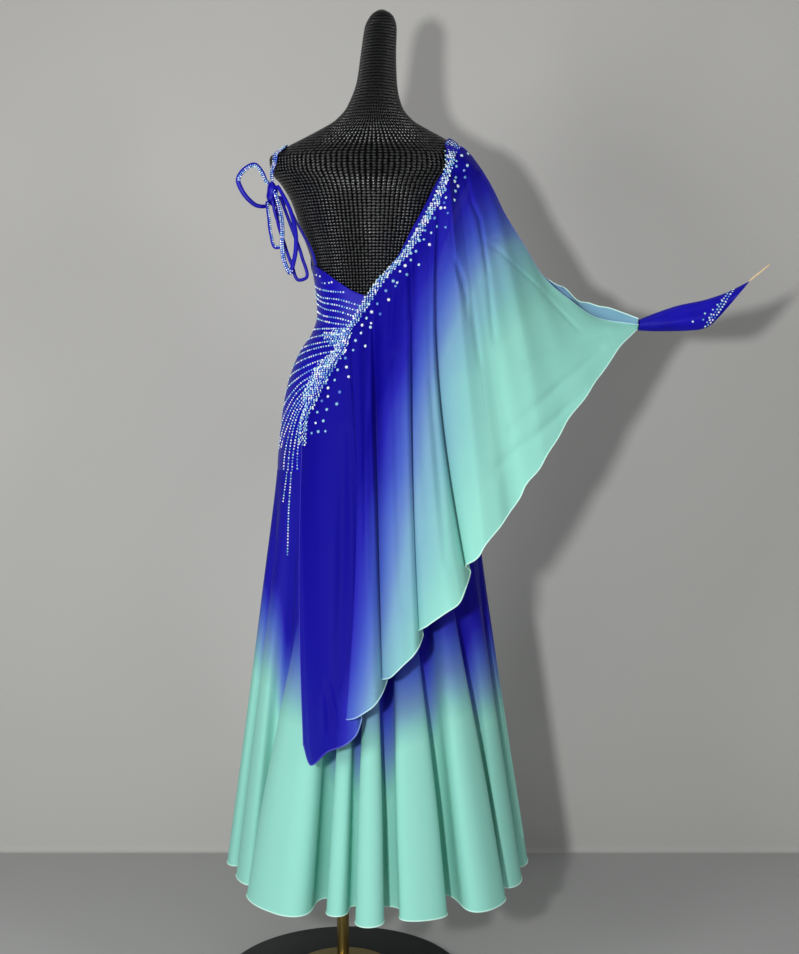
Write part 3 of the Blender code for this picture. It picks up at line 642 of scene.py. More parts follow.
def pullDepth(angle, z):
    # soft troughs: a bell across each drag line, shallow at its ends
    depth = np.zeros_like(z)
    radius = bodice["pullRadius"]
    for a0, z0, a1, z1, deep, half in bodice["pulls"]:
        t, away = fromLine(angle * radius, z, math.radians(a0) * radius, z0, math.radians(a1) * radius, z1)
        depth += deep * np.exp(-(away / half) ** 2) * np.sin(math.pi * np.clip(t, 0.08, 0.92))
    return depth


def shoulderEase(z):
    # a bell over height, widest at the shoulder
    return bodice["shoulderEase"] * np.exp(-((z - bodice["easeHeight"]) / bodice["easeReach"]) ** 2)


def bodicePoints(edge):
    # each column climbs from the hip seam to the top edge, and turns from its lower angle to its
    # upper one by a power of that climb
    u = np.linspace(0, len(edge) - 1, bodice["columns"])[:, None]
    low, high, top = columnsAt(edge, u)
    rise = np.linspace(0, 1, bodice["levels"])[None]
    z = bodice["hipSeamZ"] + (top - bodice["hipSeamZ"]) * rise
    angle = np.radians(low + (high - low) * rise ** bodice["swing"])
    lift = bodice["lift"] + shoulderEase(z) - pullDepth(angle, z)
    return onBody(angle, z, lift)


def buildBodice():
    # both panels, each with a rolled binding along its top edge
    panels = []
    for name, node, edge in (("bodiceBack", "bodice_back", bodice["backEdge"]),
                             ("bodiceFront", "bodice_front", bodice["frontEdge"])):
        points = bodicePoints(edge)
        piece = clothWall(name, points, bodice["thickness"], crepe)
        standsFor(piece, node)
        normals = gridNormals(points)
        route = points[:, -1] - normals[:, -1] * bodice["thickness"] / 2
        binding = cordAlong(name + "Binding", route, normals[:, -1], bodice["bindingRadius"], 8, crepe)
        panels.append(piece)
    return panels


bodiceBack, bodiceFront = buildBodice()
print("bodice ready")


# the five gores and the lining, from the hip seam down to the hem
skirt = {
    "hemZ": 0.236,
    "hipHalfWidth": 0.1808, "hipBackDepth": 0.1247, "hipFrontDepth": 0.1107,
    # crest angle and radius at the hem, angle and radius of the valley after it, and how far the
    # crest's flanks fold back under it at the hem, as a share of their width
    "folds": (
        (2.0, 0.291, 13.0, 0.252, 0.22), (25.0, 0.285, 36.0, 0.244, 0.28),
        (48.0, 0.297, 60.0, 0.240, 0.24), (72.0, 0.288, 84.0, 0.238, 0.30),
        (96.0, 0.301, 108.0, 0.240, 0.25), (120.0, 0.288, 131.0, 0.238, 0.28),
        (143.0, 0.296, 153.0, 0.244, 0.23), (163.0, 0.284, 172.0, 0.254, 0.20),
        (181.0, 0.282, 190.0, 0.248, 0.26), (199.5, 0.266, 209.5, 0.234, 0.30),
        (236.0, 0.297, 248.5, 0.206, 0.33), (256.0, 0.268, 262.0, 0.236, 0.22),
        (269.0, 0.303, 276.0, 0.240, 0.30), (289.0, 0.286, 303.0, 0.226, 0.27),
        (313.0, 0.304, 328.0, 0.246, 0.33), (340.0, 0.285, 351.0, 0.260, 0.24),
    ),
    "lean": 0.14,             # how much wider crests are than valleys
    "deepen": 0.020,          # how much deeper the cloth's valleys are than the solid's
    "foldsGrow": (0.08, 0.83),  # the levels between which the folds grow: 0 at the hip, 1 at the hem
    "flare": 1.08,            # above 1, the skirt hangs straighter at the hip
    # soft unevenness: wave lengths and height; the last is the hem's, up and down
    "meanRadius": 0.27,
    "fineWaves": ((0.028, 0.051), 0.0014), "broadWaves": ((0.09, 0.13), 0.0028),
    "hemWaves": ((0.07, 0.11, 0.19), 0.004),
    "thickness": 0.0006,
    "seamTurn": 0.0006,       # radians that each gore stops short of its seam
    "columnStep": 0.4, "liningColumns": 700,  # degrees from column to column; columns in all
    "gores": {
        "skirt_front_right": 1, "skirt_front_left": 4, "skirt_side_left": 8,
        "skirt_back_centre": 10, "skirt_side_right": 13,
    },
    "liningEnd": 0.9346, "liningInside": 0.0020,
    # height of the middle of the dye's fade, by angle
    "fade": (
        (0, 0.63), (60, 0.64), (120, 0.66), (180, 0.715), (205, 0.705), (225, 0.670), (238, 0.645),
        (254, 0.600), (269, 0.620), (286, 0.625), (298, 0.665), (313, 0.685), (335, 0.650), (360, 0.63),
    ),
    "fadeReach": 0.220, "valleyFade": 0.085,
    # the dye's least level holds the skirt's top paler than the deepest blue: a painted sheen
    "fadeMiddle": 0.45, "paintedSheenFloor": 0.10, "unevenFade": 0.012,
    "hemRadius": 0.0012,
}


def foldPhase(angle):
    # where an angle lies in its fold: 0 on a crest, 1 in the valley, 2 on the next crest. The ring
    # holds the angles of all crests and valleys, one turn before and one turn after too
    keys = np.radians(np.array(skirt["folds"])[:, [0, 2]].ravel())
    ring = np.concatenate([keys - 2 * math.pi, keys, keys + 2 * math.pi])
    return np.interp(angle, ring, np.arange(len(ring)) - len(keys)), ring


def hemRadius(angle):
    # the hem's distance from the middle, smooth through every crest and valley
    radii = (np.array(skirt["folds"])[:, [1, 3]] - (0, skirt["deepen"])).ravel()
    return throughRows(foldPhase(angle)[1], np.tile(radii, 3), angle)


def skirtSurface(angle, level):
    # from the hip's ellipse to the folded hem. Lower down each flank meanders: its angle gains
    # m sin(2 pi s), s running from 0 to 1 between crest and valley, so crests and valleys
    # broaden and the flank between them folds back under its crest
    folds = np.array(skirt["folds"])
    phase, ring = foldPhase(angle)
    gap = np.diff(ring)[np.clip(np.searchsorted(ring, angle, side="right") - 1, 0, len(ring) - 2)]
    grown = eased(level, *skirt["foldsGrow"])
    meander = folds[np.floor((phase + 1) / 2).astype(int) % len(folds), 4]
    bulge = gap * grown * (meander * np.sin(2 * math.pi * (phase % 1))
                           + skirt["lean"] * np.sin(math.pi * (phase % 2)))
    hem = hemRadius(angle)
    depth = np.where(np.sin(angle) < 0, skirt["hipBackDepth"], skirt["hipFrontDepth"])
    hip = 1 / np.sqrt((np.cos(angle) / skirt["hipHalfWidth"]) ** 2 + (np.sin(angle) / depth) ** 2)
    radius = hip + (hem - hip) * np.sign(level) * np.abs(level) ** skirt["flare"]
    arc = angle * skirt["meanRadius"]
    (fineLengths, fine), (broadLengths, broad) = skirt["fineWaves"], skirt["broadWaves"]
    soft = waves(arc, fineLengths, 3) * fine + waves(arc + level * 0.02, broadLengths, 5) * broad
    radius = radius + soft * eased(level, 0, 1 / 3)
    turned = angle + bulge
    hemLengths, uneven = skirt["hemWaves"]
    z = bodice["hipSeamZ"] - (bodice["hipSeamZ"] - skirt["hemZ"]) * level
    z = z + waves(arc, hemLengths, 9) * uneven * level ** 3
    return np.stack([form["middleX"] + radius * np.cos(turned), radius * np.sin(turned), z], -1)


def skirtDye(angle, z):
    # the dye goes up to 1 in a straight line as the cloth drops past the fade, which is lower in
    # the valleys and uneven round the skirt
    keys, heights = np.array(skirt["fade"]).T
    middle = throughRows(np.radians(keys), heights, np.mod(angle, 2 * math.pi))
    valley = 0.5 - 0.5 * np.cos(math.pi * (foldPhase(angle)[0] % 2))
    middle = middle - skirt["valleyFade"] * valley ** 3
    middle = middle + skirt["unevenFade"] * waves(angle, (0.31, 0.53), 11)
    # the lower clip is a painted sheen: the skirt never reaches the ramp's deepest blue
    return np.clip(skirt["fadeMiddle"] + (middle - z) / skirt["fadeReach"], skirt["paintedSheenFloor"], 1)


def rolledEdge(name, route, across, radius, tint):
    # a thin roll of hem thread along an edge
    roll = cordAlong(name, route, across, radius, 6, hemThread, attributes={"dye": np.clip(tint, 0, 1)})


def buildSkirt():
    # each gore runs from the valley before its first crest to the next gore's
    ring = foldPhase(0.0)[1]
    first = len(skirt["folds"]) * 2
    starts = list(skirt["gores"].items())
    levels = np.linspace(0, 1, 70)
    for i, (node, begin) in enumerate(starts):
        following = starts[(i + 1) % len(starts)][1]
        low = ring[first + 2 * begin - 1]
        high = ring[first + 2 * following - 1]
        if high < low:
            high += 2 * math.pi
        columns = int((high - low) / math.radians(skirt["columnStep"]))
        turn = np.linspace(high - skirt["seamTurn"], low + skirt["seamTurn"], columns)
        angle, level = np.meshgrid(turn, levels, indexing="ij")
        points = skirtSurface(angle, level)
        dye = skirtDye(angle, points[..., 2])
        name = "".join(part.capitalize() if k else part for k, part in enumerate(node.split("_")))
        gore = clothWall(name, points, skirt["thickness"], chiffon, {"dye": dye})
        standsFor(gore, node)
        rolledEdge(name + "Hem", points[:, -1], gridNormals(points)[:, -1], skirt["hemRadius"], dye[:, -1])
    turns = 2 * math.pi - anglesRound(skirt["liningColumns"])
    angle, level = np.meshgrid(turns, levels * skirt["liningEnd"], indexing="ij")
    points = skirtSurface(angle, level)
    points = points - gridNormals(points, wrap=True) * skirt["liningInside"]
    dye = skirtDye(angle, points[..., 2])
    lining = clothWall("skirtLining", points, skirt["thickness"], liningSatin, {"dye": dye}, wrap=True)
    standsFor(lining, "skirt_lining")


buildSkirt()
print("skirt ready")


# the float's back half: a slanted seam from hip to shoulder, and the fold lines that hang from it
float_ = {
    "clearance": 0.005, "seamLift": 0.0010, "ease": 1.8, "thickness": 0.0005,
    "easeOver": 0.08,         # the ease comes in over this share of the way from seam to hem
    # the seam, from the left hip up to the point of the back and on to the right shoulder: x, z
    "seam": (
        (-0.064, 1.042), (-0.060, 1.078), (-0.045, 1.111), (-0.024, 1.151), (-0.009, 1.179),
        (0.011, 1.206), (0.021, 1.240), (0.030, 1.254), (0.042, 1.277), (0.052, 1.301),
        (0.068, 1.326), (0.088, 1.348), (0.112, 1.375), (0.129, 1.403), (0.146, 1.433),
        (0.163, 1.463), (0.176, 1.494), (0.187, 1.523), (0.195, 1.551), (0.204, 1.572),
    ),
    # fold lines: height on the seam; hem x, y, z; how far the line bows to the wearer's left.
    # Four deep valleys part the panels, and each next panel's left edge laps over its valley
    "folds": (
        (1.042, -0.055, -0.262, 0.539, 0.006),
        (1.071, -0.041, -0.270, 0.505, 0.006),
        (1.116, -0.011, -0.278, 0.531, 0.004),
        (1.168, 0.015, -0.281, 0.542, 0.002),
        (1.200, 0.036, -0.276, 0.560, 0.000),
        (1.216, 0.044, -0.258, 0.584, -0.008),
        (1.234, 0.026, -0.294, 0.594, -0.013),
        (1.246, 0.020, -0.306, 0.592, -0.013),
        (1.262, 0.032, -0.307, 0.594, -0.009),
        (1.282, 0.052, -0.304, 0.605, 0.000),
        (1.294, 0.068, -0.297, 0.617, 0.005),
        (1.304, 0.080, -0.278, 0.632, 0.004),
        (1.314, 0.087, -0.240, 0.645, 0.003),
        (1.326, 0.079, -0.272, 0.652, 0.003),
        (1.346, 0.092, -0.292, 0.660, 0.005),
        (1.370, 0.112, -0.298, 0.680, 0.006),
        (1.386, 0.130, -0.293, 0.696, 0.006),
        (1.396, 0.141, -0.274, 0.710, 0.006),
        (1.404, 0.148, -0.234, 0.722, 0.006),
        (1.414, 0.140, -0.262, 0.733, 0.008),
        (1.434, 0.156, -0.282, 0.746, 0.014),
        (1.456, 0.186, -0.285, 0.768, 0.020),
        (1.470, 0.208, -0.276, 0.783, 0.024),
        (1.482, 0.219, -0.256, 0.804, 0.026),
        (1.491, 0.229, -0.214, 0.826, 0.026),
        (1.502, 0.220, -0.238, 0.839, 0.024),
        (1.522, 0.234, -0.250, 0.852, 0.018),
        (1.546, 0.252, -0.250, 0.872, 0.010),
        (1.572, 0.275, -0.235, 0.903, 0.000),
    ),
    # over the shoulder and along the free edge to the wrist: edge x, y, z; hem x, y, z
    "wing": (
        (0.219, -0.030, 1.569, 0.299, -0.215, 0.932),
        (0.234, -0.024, 1.558, 0.318, -0.204, 0.960),
        (0.256, -0.018, 1.531, 0.336, -0.195, 0.987),
        (0.276, -0.016, 1.499, 0.356, -0.186, 1.015),
        (0.298, -0.016, 1.454, 0.381, -0.165, 1.050),
        (0.334, -0.016, 1.396, 0.408, -0.143, 1.088),
        (0.370, -0.016, 1.339, 0.437, -0.115, 1.126),
        (0.419, -0.018, 1.296, 0.467, -0.090, 1.160),
        (0.474, -0.019, 1.262, 0.507, -0.053, 1.211),
        (0.5445, -0.020, 1.2510, 0.542, -0.021, 1.2430),
    ),
    # soft troughs pressed into it: x, z at both ends, depth, half width
    "creases": (
        (0.226, 1.520, 0.236, 1.468, 0.0040, 0.0050),
        (0.236, 1.468, 0.250, 1.436, 0.0060, 0.0042),
        (0.250, 1.436, 0.256, 1.396, 0.0065, 0.0040),
        (0.256, 1.396, 0.263, 1.340, 0.0055, 0.0042),
        (0.263, 1.340, 0.272, 1.225, 0.0035, 0.0055),
        (0.255, 1.398, 0.226, 1.386, 0.0022, 0.0036),
        (0.254, 1.402, 0.236, 1.408, 0.0020, 0.0034),
        (0.257, 1.399, 0.287, 1.404, 0.0018, 0.0036),
        (0.257, 1.397, 0.281, 1.383, 0.0026, 0.0034),
        (0.281, 1.383, 0.318, 1.351, 0.0024, 0.0034),
        (0.318, 1.351, 0.354, 1.321, 0.0022, 0.0038),
        (0.354, 1.321, 0.430, 1.241, 0.0020, 0.0044),
        (0.191, 1.424, 0.200, 1.371, 0.0050, 0.0042),
        (0.200, 1.371, 0.217, 1.318, 0.0050, 0.0042),
        (0.206, 1.372, 0.224, 1.292, 0.0042, 0.0040),
        (0.218, 1.336, 0.226, 1.262, 0.0034, 0.0040),
        (0.232, 1.300, 0.246, 1.180, 0.0030, 0.0060),
        (0.270, 1.000, 0.433, 1.125, 0.0042, 0.0085),
        (0.300, 1.070, 0.470, 1.205, 0.0034, 0.0080),
        (0.330, 1.180, 0.480, 1.235, 0.0032, 0.0090),
        (0.012, 1.060, 0.004, 0.640, 0.0050, 0.0110),
        (0.060, 1.100, 0.056, 0.720, 0.0040, 0.0090),
        (0.100, 1.190, 0.110, 0.780, 0.0045, 0.0080),
        (0.128, 1.200, 0.146, 0.880, 0.0040, 0.0080),
        (0.163, 1.150, 0.184, 0.850, 0.0045, 0.0080),
        (0.068, 1.240, 0.070, 0.960, 0.0045, 0.0060),
        (0.098, 1.330, 0.092, 1.220, 0.0040, 0.0060),
        (0.130, 1.360, 0.128, 1.260, 0.0045, 0.0060),
        (0.004, 0.570, -0.014, 0.640, 0.0040, 0.0060),
        (-0.020, 0.560, -0.022, 0.620, 0.0030, 0.0050),
        (0.018, 0.575, 0.006, 0.620, 0.0030, 0.0050),
    ),
    # where the dye starts to fade and where it is nearly gone: z, x and x, lowest first
    "fade": (
        (0.60, 0.005, 0.060), (0.70, 0.028, 0.085), (0.80, 0.040, 0.107), (0.90, 0.051, 0.127),
        (1.00, 0.071, 0.150), (1.10, 0.091, 0.167), (1.20, 0.120, 0.189), (1.30, 0.142, 0.236),
        (1.38, 0.177, 0.290), (1.42, 0.194, 0.358), (1.46, 0.222, 0.460), (1.52, 0.300, 0.580),
    ),
    "columnsPerFold": 12, "levels": 100, "levelPower": 1.05,
    "hemRadius": 0.0012,
    "skirtWider": 0.107, "skirtDeeper": 0.180,  # how far the skirt beneath spreads down to its hem
    # how far the wing bellies out to the back, and where: fold lines counted from the wing's first
    "wingSag": 0.020, "sagGrows": (-4, 1), "sagEnds": 11,
    "freeAfter": 0.10, "stillBefore": 0.06,  # creases and ripples keep off the seam and the hem
    "ripples": (0.0030, 0.0010),
    # the wing's hem, waved sideways: lengths in fold lines, height, and where the waves grow, from
    # seam to hem and along the fold lines
    "hemWaves": ((3.1, 1.7), 0.0030), "hemWavesFrom": 0.65, "hemWavesGrow": (-5, -2),
    "softness": 0.004, "laidAfter": 0.05,  # how softly it comes to lie on what is in its way
    # the dye's level on the first line of the fade, on the second, and its gain for each width more
    "dyeLevels": (0.18, 0.73, 0.16),
    # the dye's shift on the middle panels and on the tail, and the fold lines between which it grows
    "panelShift": 0.06, "panelGrows": (5.0, 6.2), "panelEnds": (13.5, 11.5),
    "tailShift": -0.20, "tailGrows": (5.4, 3.9),
    # the rolls of its two other edges: radius against the hem's, and the dye's shift. The free
    # edge is turned under, and swells to a full roll between these two x, near the wrist
    "freeRoll": (0.4, -0.4), "fullRoll": (0.48, 0.52), "sideRoll": (0.6, -0.3),
}


def seamX(z):
    # where the slanted seam crosses a height
    x, heights = np.array(float_["seam"]).T
    return throughRows(heights, x, z)


def backAngle(x, z):
    # the angle at the back whose cosine, times the half width, reaches x
    middle, width = bodySizes(z)[:2]
    return -np.arccos(np.clip((x - middle) / width, -1, 1))


def onBack(x, z, lift):
    # straight behind x, z, that far off the form
    return onBody(backAngle(x, z), z, lift)


def seamLift(z, v=0.0):
    # sewn down on the bodice at the seam, and standing off it by the ease a little further on
    ease = 1 + (float_["ease"] - 1) * eased(v, 0, float_["easeOver"])
    return ease * shoulderEase(z) + bodice["lift"] + float_["seamLift"]


def clearDepth(x, z):
    # how deep the dressed body and the skirt reach to the back, with the float's clearance
    width, back = bodySizes(z)[1:3]
    drop = np.clip((bodice["hipSeamZ"] - z) / (bodice["hipSeamZ"] - skirt["hemZ"]), 0, 1)
    ease = bodice["lift"] + float_["ease"] * shoulderEase(z)
    above = z > bodice["hipSeamZ"]
    width = np.where(above, width + ease, skirt["hipHalfWidth"] + float_["skirtWider"] * drop)
    back = np.where(above, back + ease, skirt["hipBackDepth"] + float_["skirtDeeper"] * drop)
    across = (x - form["middleX"]) / (width + float_["clearance"])
    return (back + float_["clearance"]) * np.sqrt(np.clip(1 - across ** 2, 0, 1))


def creaseDepth(x, z):
    # a sum of creases: each a bell across its line, about half as deep at its ends as halfway along
    depth = np.zeros_like(z)
    for x0, z0, x1, z1, deep, half in float_["creases"]:
        near, away = fromLine(x, z, x0, z0, x1, z1)
        depth += deep * np.exp(-(away / half) ** 2) * (0.55 + 0.45 * np.sin(math.pi * near))
    return depth


def floatRows():
    # seam folds and wing lines as one table: edge x, y, z, hem x, y, z, bow
    rows = []
    for z, hemX, hemY, hemZ, bow in float_["folds"]:
        x = seamX(z)
        y = onBack(x, z, seamLift(z))[1]
        rows.append((x, y, z, hemX, hemY, hemZ, bow))
    return rows + [(*row, 0.0) for row in float_["wing"]]


def floatSurface(u, v):
    # every fold line runs from its place on the edge to its place on the hem, bowed sideways,
    # and is pushed back wherever the body or the skirt is in its way
    rows = floatRows()
    x, y, z, hemX, hemY, hemZ, bow = columnsAt(rows, u)
    sewn = u <= len(float_["folds"]) - 1
    behind = onBack(seamX(z), z, seamLift(z, v))
    x = np.where(sewn, behind[..., 0], x)
    y = np.where(sewn, behind[..., 1], y)
    z = np.where(sewn, behind[..., 2], z)
    px = x + (hemX - x) * v - bow * np.sin(math.pi * v)
    pz = z + (hemZ - z) * v
    hang = -(y + (hemY - y) * v)
    line = u - len(float_["folds"])
    sag = float_["wingSag"] * eased(line, *float_["sagGrows"]) * np.clip(1 - line / float_["sagEnds"], 0, 1)
    hang = hang + sag * np.sin(math.pi * v)
    free = eased(v, 0, float_["freeAfter"])
    hang = hang - creaseDepth(px, pz) * free * eased(v, 1, 1 - float_["stillBefore"])
    broad, fine = float_["ripples"]
    hang = hang + (waves(u + v, (4.3, 7.1), 21) * broad + waves(u - v, (2.3,), 22) * fine) * free
    lengths, height = float_["hemWaves"]
    grown = eased(v, float_["hemWavesFrom"], 1) * eased(line, *float_["hemWavesGrow"])
    stillAtWrist = 1 - v * eased(u, len(rows) - 2.5, len(rows) - 1)
    px = px + waves(u, lengths, 41) * height * grown * stillAtWrist
    clear = clearDepth(px, pz)
    lifted = (hang + clear + np.sqrt((hang - clear) ** 2 + float_["softness"] ** 2)) / 2
    depth = hang + (lifted - hang) * np.clip(v / float_["laidAfter"], 0, 1)
    return np.stack([px, -depth, pz], -1)


def floatDye(points, panel=0.0):
    # how far the dye has faded, from how far a point lies past the fade's first line; panel shifts
    # a panel's own cloth, since the width that a fold tucks away is missing from the fade
    x, z = points[..., 0], points[..., 2]
    heights, starts, ends = np.array(float_["fade"]).T
    start = throughRows(heights, starts, z)
    end = throughRows(heights, ends, z)
    share = (x - start) / (end - start) + panel
    first, second, gain = float_["dyeLevels"]
    return np.clip(first + (second - first) * share, 0, second + gain * np.clip(share - 1, 0, 2))


# the float's front half, on the far side of the arm
frontFloat = {
    # edge x, y, z and hem x, y, z
    "lines": (
        (0.186, 0.072, 1.330, 0.196, 0.092, 1.090),
        (0.206, 0.072, 1.425, 0.236, 0.094, 1.062),
        (0.238, 0.058, 1.500, 0.280, 0.086, 1.070),
        (0.243, 0.034, 1.546, 0.310, 0.078, 1.090),
        (0.274, 0.012, 1.496, 0.356, 0.064, 1.125),
        (0.293, 0.008, 1.456, 0.390, 0.052, 1.150),
        (0.332, 0.008, 1.391, 0.424, 0.040, 1.172),
        (0.360, 0.008, 1.349, 0.440, 0.034, 1.182),
        (0.384, 0.008, 1.333, 0.456, 0.028, 1.192),
        (0.408, 0.006, 1.320, 0.470, 0.022, 1.204),
        (0.436, 0.004, 1.298, 0.484, 0.016, 1.215),
        (0.466, 0.000, 1.287, 0.499, 0.008, 1.226),
        (0.498, -0.006, 1.280, 0.514, 0.000, 1.236),
        (0.5445, -0.0182, 1.2620, 0.5422, -0.0186, 1.2500),
    ),
    "wave": 0.010, "waves": 6, "thickness": 0.0005,
    # its upper edge curls over in waves, from these lines on towards the wrist
    "curl": 0.0048, "curlReach": 0.16, "curlRise": 0.6, "curlGrows": (5, 7),
    "paintedShadeBluer": 0.30, "edgeFade": 1.3,  # its dye made bluer and darker than the back half's, a painted shade; its rolls' dye against its own
    "columnsPerLine": 16, "levels": 50,
}


def frontFloatSurface(u, v):
    # straight from edge to hem, plus a sine wave that grows towards the hem and curls that fade
    # away from the edge
    x, y, z, hemX, hemY, hemZ = columnsAt(frontFloat["lines"], u)
    last = len(frontFloat["lines"]) - 1
    swing = frontFloat["wave"] * np.sin(u / last * frontFloat["waves"] * 2 * math.pi) * v * (1 - u / last)
    curl = frontFloat["curl"] * waves(u, (2.1, 1.3), 31) * np.exp(-(v / frontFloat["curlReach"]) ** 2)
    curl = curl * eased(u, *frontFloat["curlGrows"]) * eased(u, last, last - 2)
    px = x + (hemX - x) * v
    pz = z + (hemZ - z) * v + curl * frontFloat["curlRise"]
    return np.stack([px, y + (hemY - y) * v + swing + curl, pz], -1)


def buildFloatBack():
    # the sheet, its dye, and rolls along the hem, the free edge and the side edge
    rows = len(floatRows())
    u = np.linspace(0, rows - 1, (rows - 1) * float_["columnsPerFold"] + 1)
    v = np.linspace(0, 1, float_["levels"]) ** float_["levelPower"]
    uGrid, vGrid = np.meshgrid(u, v, indexing="ij")
    points = floatSurface(uGrid, vGrid)[::-1]
    panel = eased(uGrid, *float_["panelGrows"]) * eased(uGrid, *float_["panelEnds"])
    shift = float_["panelShift"] * panel + float_["tailShift"] * eased(uGrid, *float_["tailGrows"])
    dye = floatDye(points, (shift * eased(vGrid, 0, 0.5))[::-1])
    piece = clothWall("floatBack", points, float_["thickness"], chiffon, {"dye": dye})
    standsFor(piece, "float_back")
    normals = gridNormals(points)
    radius = float_["hemRadius"]
    free = slice((len(float_["wing"]) + 1) * float_["columnsPerFold"])
    freeShare, freeShift = float_["freeRoll"]
    sideShare, sideShift = float_["sideRoll"]
    share = freeShare + (1 - freeShare) * eased(points[free, 0, 0], *float_["fullRoll"])
    rolledEdge("floatHem", points[:, -1], normals[:, -1], radius, dye[:, -1])
    rolledEdge("floatFreeEdge", points[free, 0], normals[free, 0], radius * share, dye[free, 0] + freeShift)
    rolledEdge("floatSideEdge", points[-1], normals[-1], radius * sideShare, dye[-1] + sideShift)
    return piece


def buildFloatFront():
    # the sheet, its dye bluer and darker than the back half's as a painted shade, and rolls along its hem
    # and edge
    last = len(frontFloat["lines"]) - 1
    u = np.linspace(0, last, last * frontFloat["columnsPerLine"] + 1)
    uGrid, vGrid = np.meshgrid(u, np.linspace(0, 1, frontFloat["levels"]), indexing="ij")
    points = frontFloatSurface(uGrid, vGrid)
    # the front half's dye is shifted bluer and darker: painted shade
    dye = np.clip(floatDye(points) - frontFloat["paintedShadeBluer"], 0, 1)
    piece = clothWall("floatFront", points, frontFloat["thickness"], chiffon, {"dye": dye})
    standsFor(piece, "float_front")
    normals = gridNormals(points)
    for name, row in (("floatFrontHem", -1), ("floatFrontEdge", 0)):
        rolledEdge(name, points[:, row], normals[:, row], float_["hemRadius"],
                   dye[:, row] * frontFloat["edgeFade"])


# the cuff over the back of the hand, and the loop at its point
gauntlet = {
    # upper point x, z; lower point x, z; half depth
    "rings": (
        (0.5456, 1.2605, 0.5444, 1.2400, 0.011),
        (0.572, 1.2710, 0.5760, 1.2385, 0.013),
        (0.617, 1.2860, 0.6150, 1.2390, 0.015),
        (0.662, 1.2955, 0.6530, 1.2410, 0.016),
        (0.702, 1.3085, 0.6700, 1.2460, 0.016),
        (0.744, 1.3290, 0.6780, 1.2510, 0.012),
    ),
    "y": -0.020, "thickness": 0.0009,
    # soft lengthwise folds: how many round it, depth, turn per ring, where they start
    "folds": ((3, 0.0016, 0.6, 0.0), (5, 0.0009, -1.1, 1.0)),
    "loopStart": (0.7450, 1.3303), "loopEnd": (0.782, 1.360),
    "loopHalfWidth": 0.006, "loopRadius": 0.0012,
}


def gauntletSurface(turn, v):
    # an oval between the upper and lower point at every ring, with folds that are sine waves
    # round it and die out at both ends
    topX, topZ, lowX, lowZ, halfDepth = columnsAt(gauntlet["rings"], v)
    x = (topX + lowX) / 2 + (topX - lowX) / 2 * np.cos(turn)
    z = (topZ + lowZ) / 2 + (topZ - lowZ) / 2 * np.cos(turn)
    fold = sum(np.sin(turn * count + twist * v + start) * deep
               for count, deep, twist, start in gauntlet["folds"])
    end = np.sin(math.pi * np.clip(v / (len(gauntlet["rings"]) - 1), 0, 1))
    return np.stack([x, gauntlet["y"] + (halfDepth + fold * end) * np.sin(turn), z], -1)


def buildGauntlet():
    # the cuff is one sheet wrapped round
    v = np.linspace(0, len(gauntlet["rings"]) - 1, 70)
    turn, level = np.meshgrid(anglesRound(96), v, indexing="ij")
    points = gauntletSurface(turn, level)[::-1]
    cuff = clothWall("gauntletCuff", points, gauntlet["thickness"], crepe, wrap=True)
    standsFor(cuff, "gauntlet")
    # the loop: an oval between its two ends, lying across the hand
    start, end = (np.insert(gauntlet[key], 1, gauntlet["y"]) for key in ("loopStart", "loopEnd"))
    half = np.linalg.norm(end - start) / 2
    along = (end - start) / (2 * half)
    width = np.array([0, gauntlet["loopHalfWidth"], 0])
    turns = anglesRound(72)[:, None]
    route = (start + end) / 2 + along * half * np.cos(turns) + width * np.sin(turns)
    loop = cordAlong("fingerLoop", route, np.cross(along, (0, 1, 0)), gauntlet["loopRadius"], 10,
                     elastic, closed=True)
    standsFor(loop, "finger_loop")
    return cuff


floatBack = buildFloatBack()
buildFloatFront()
gauntletCuff = buildGauntlet()
print("float and gauntlet ready")


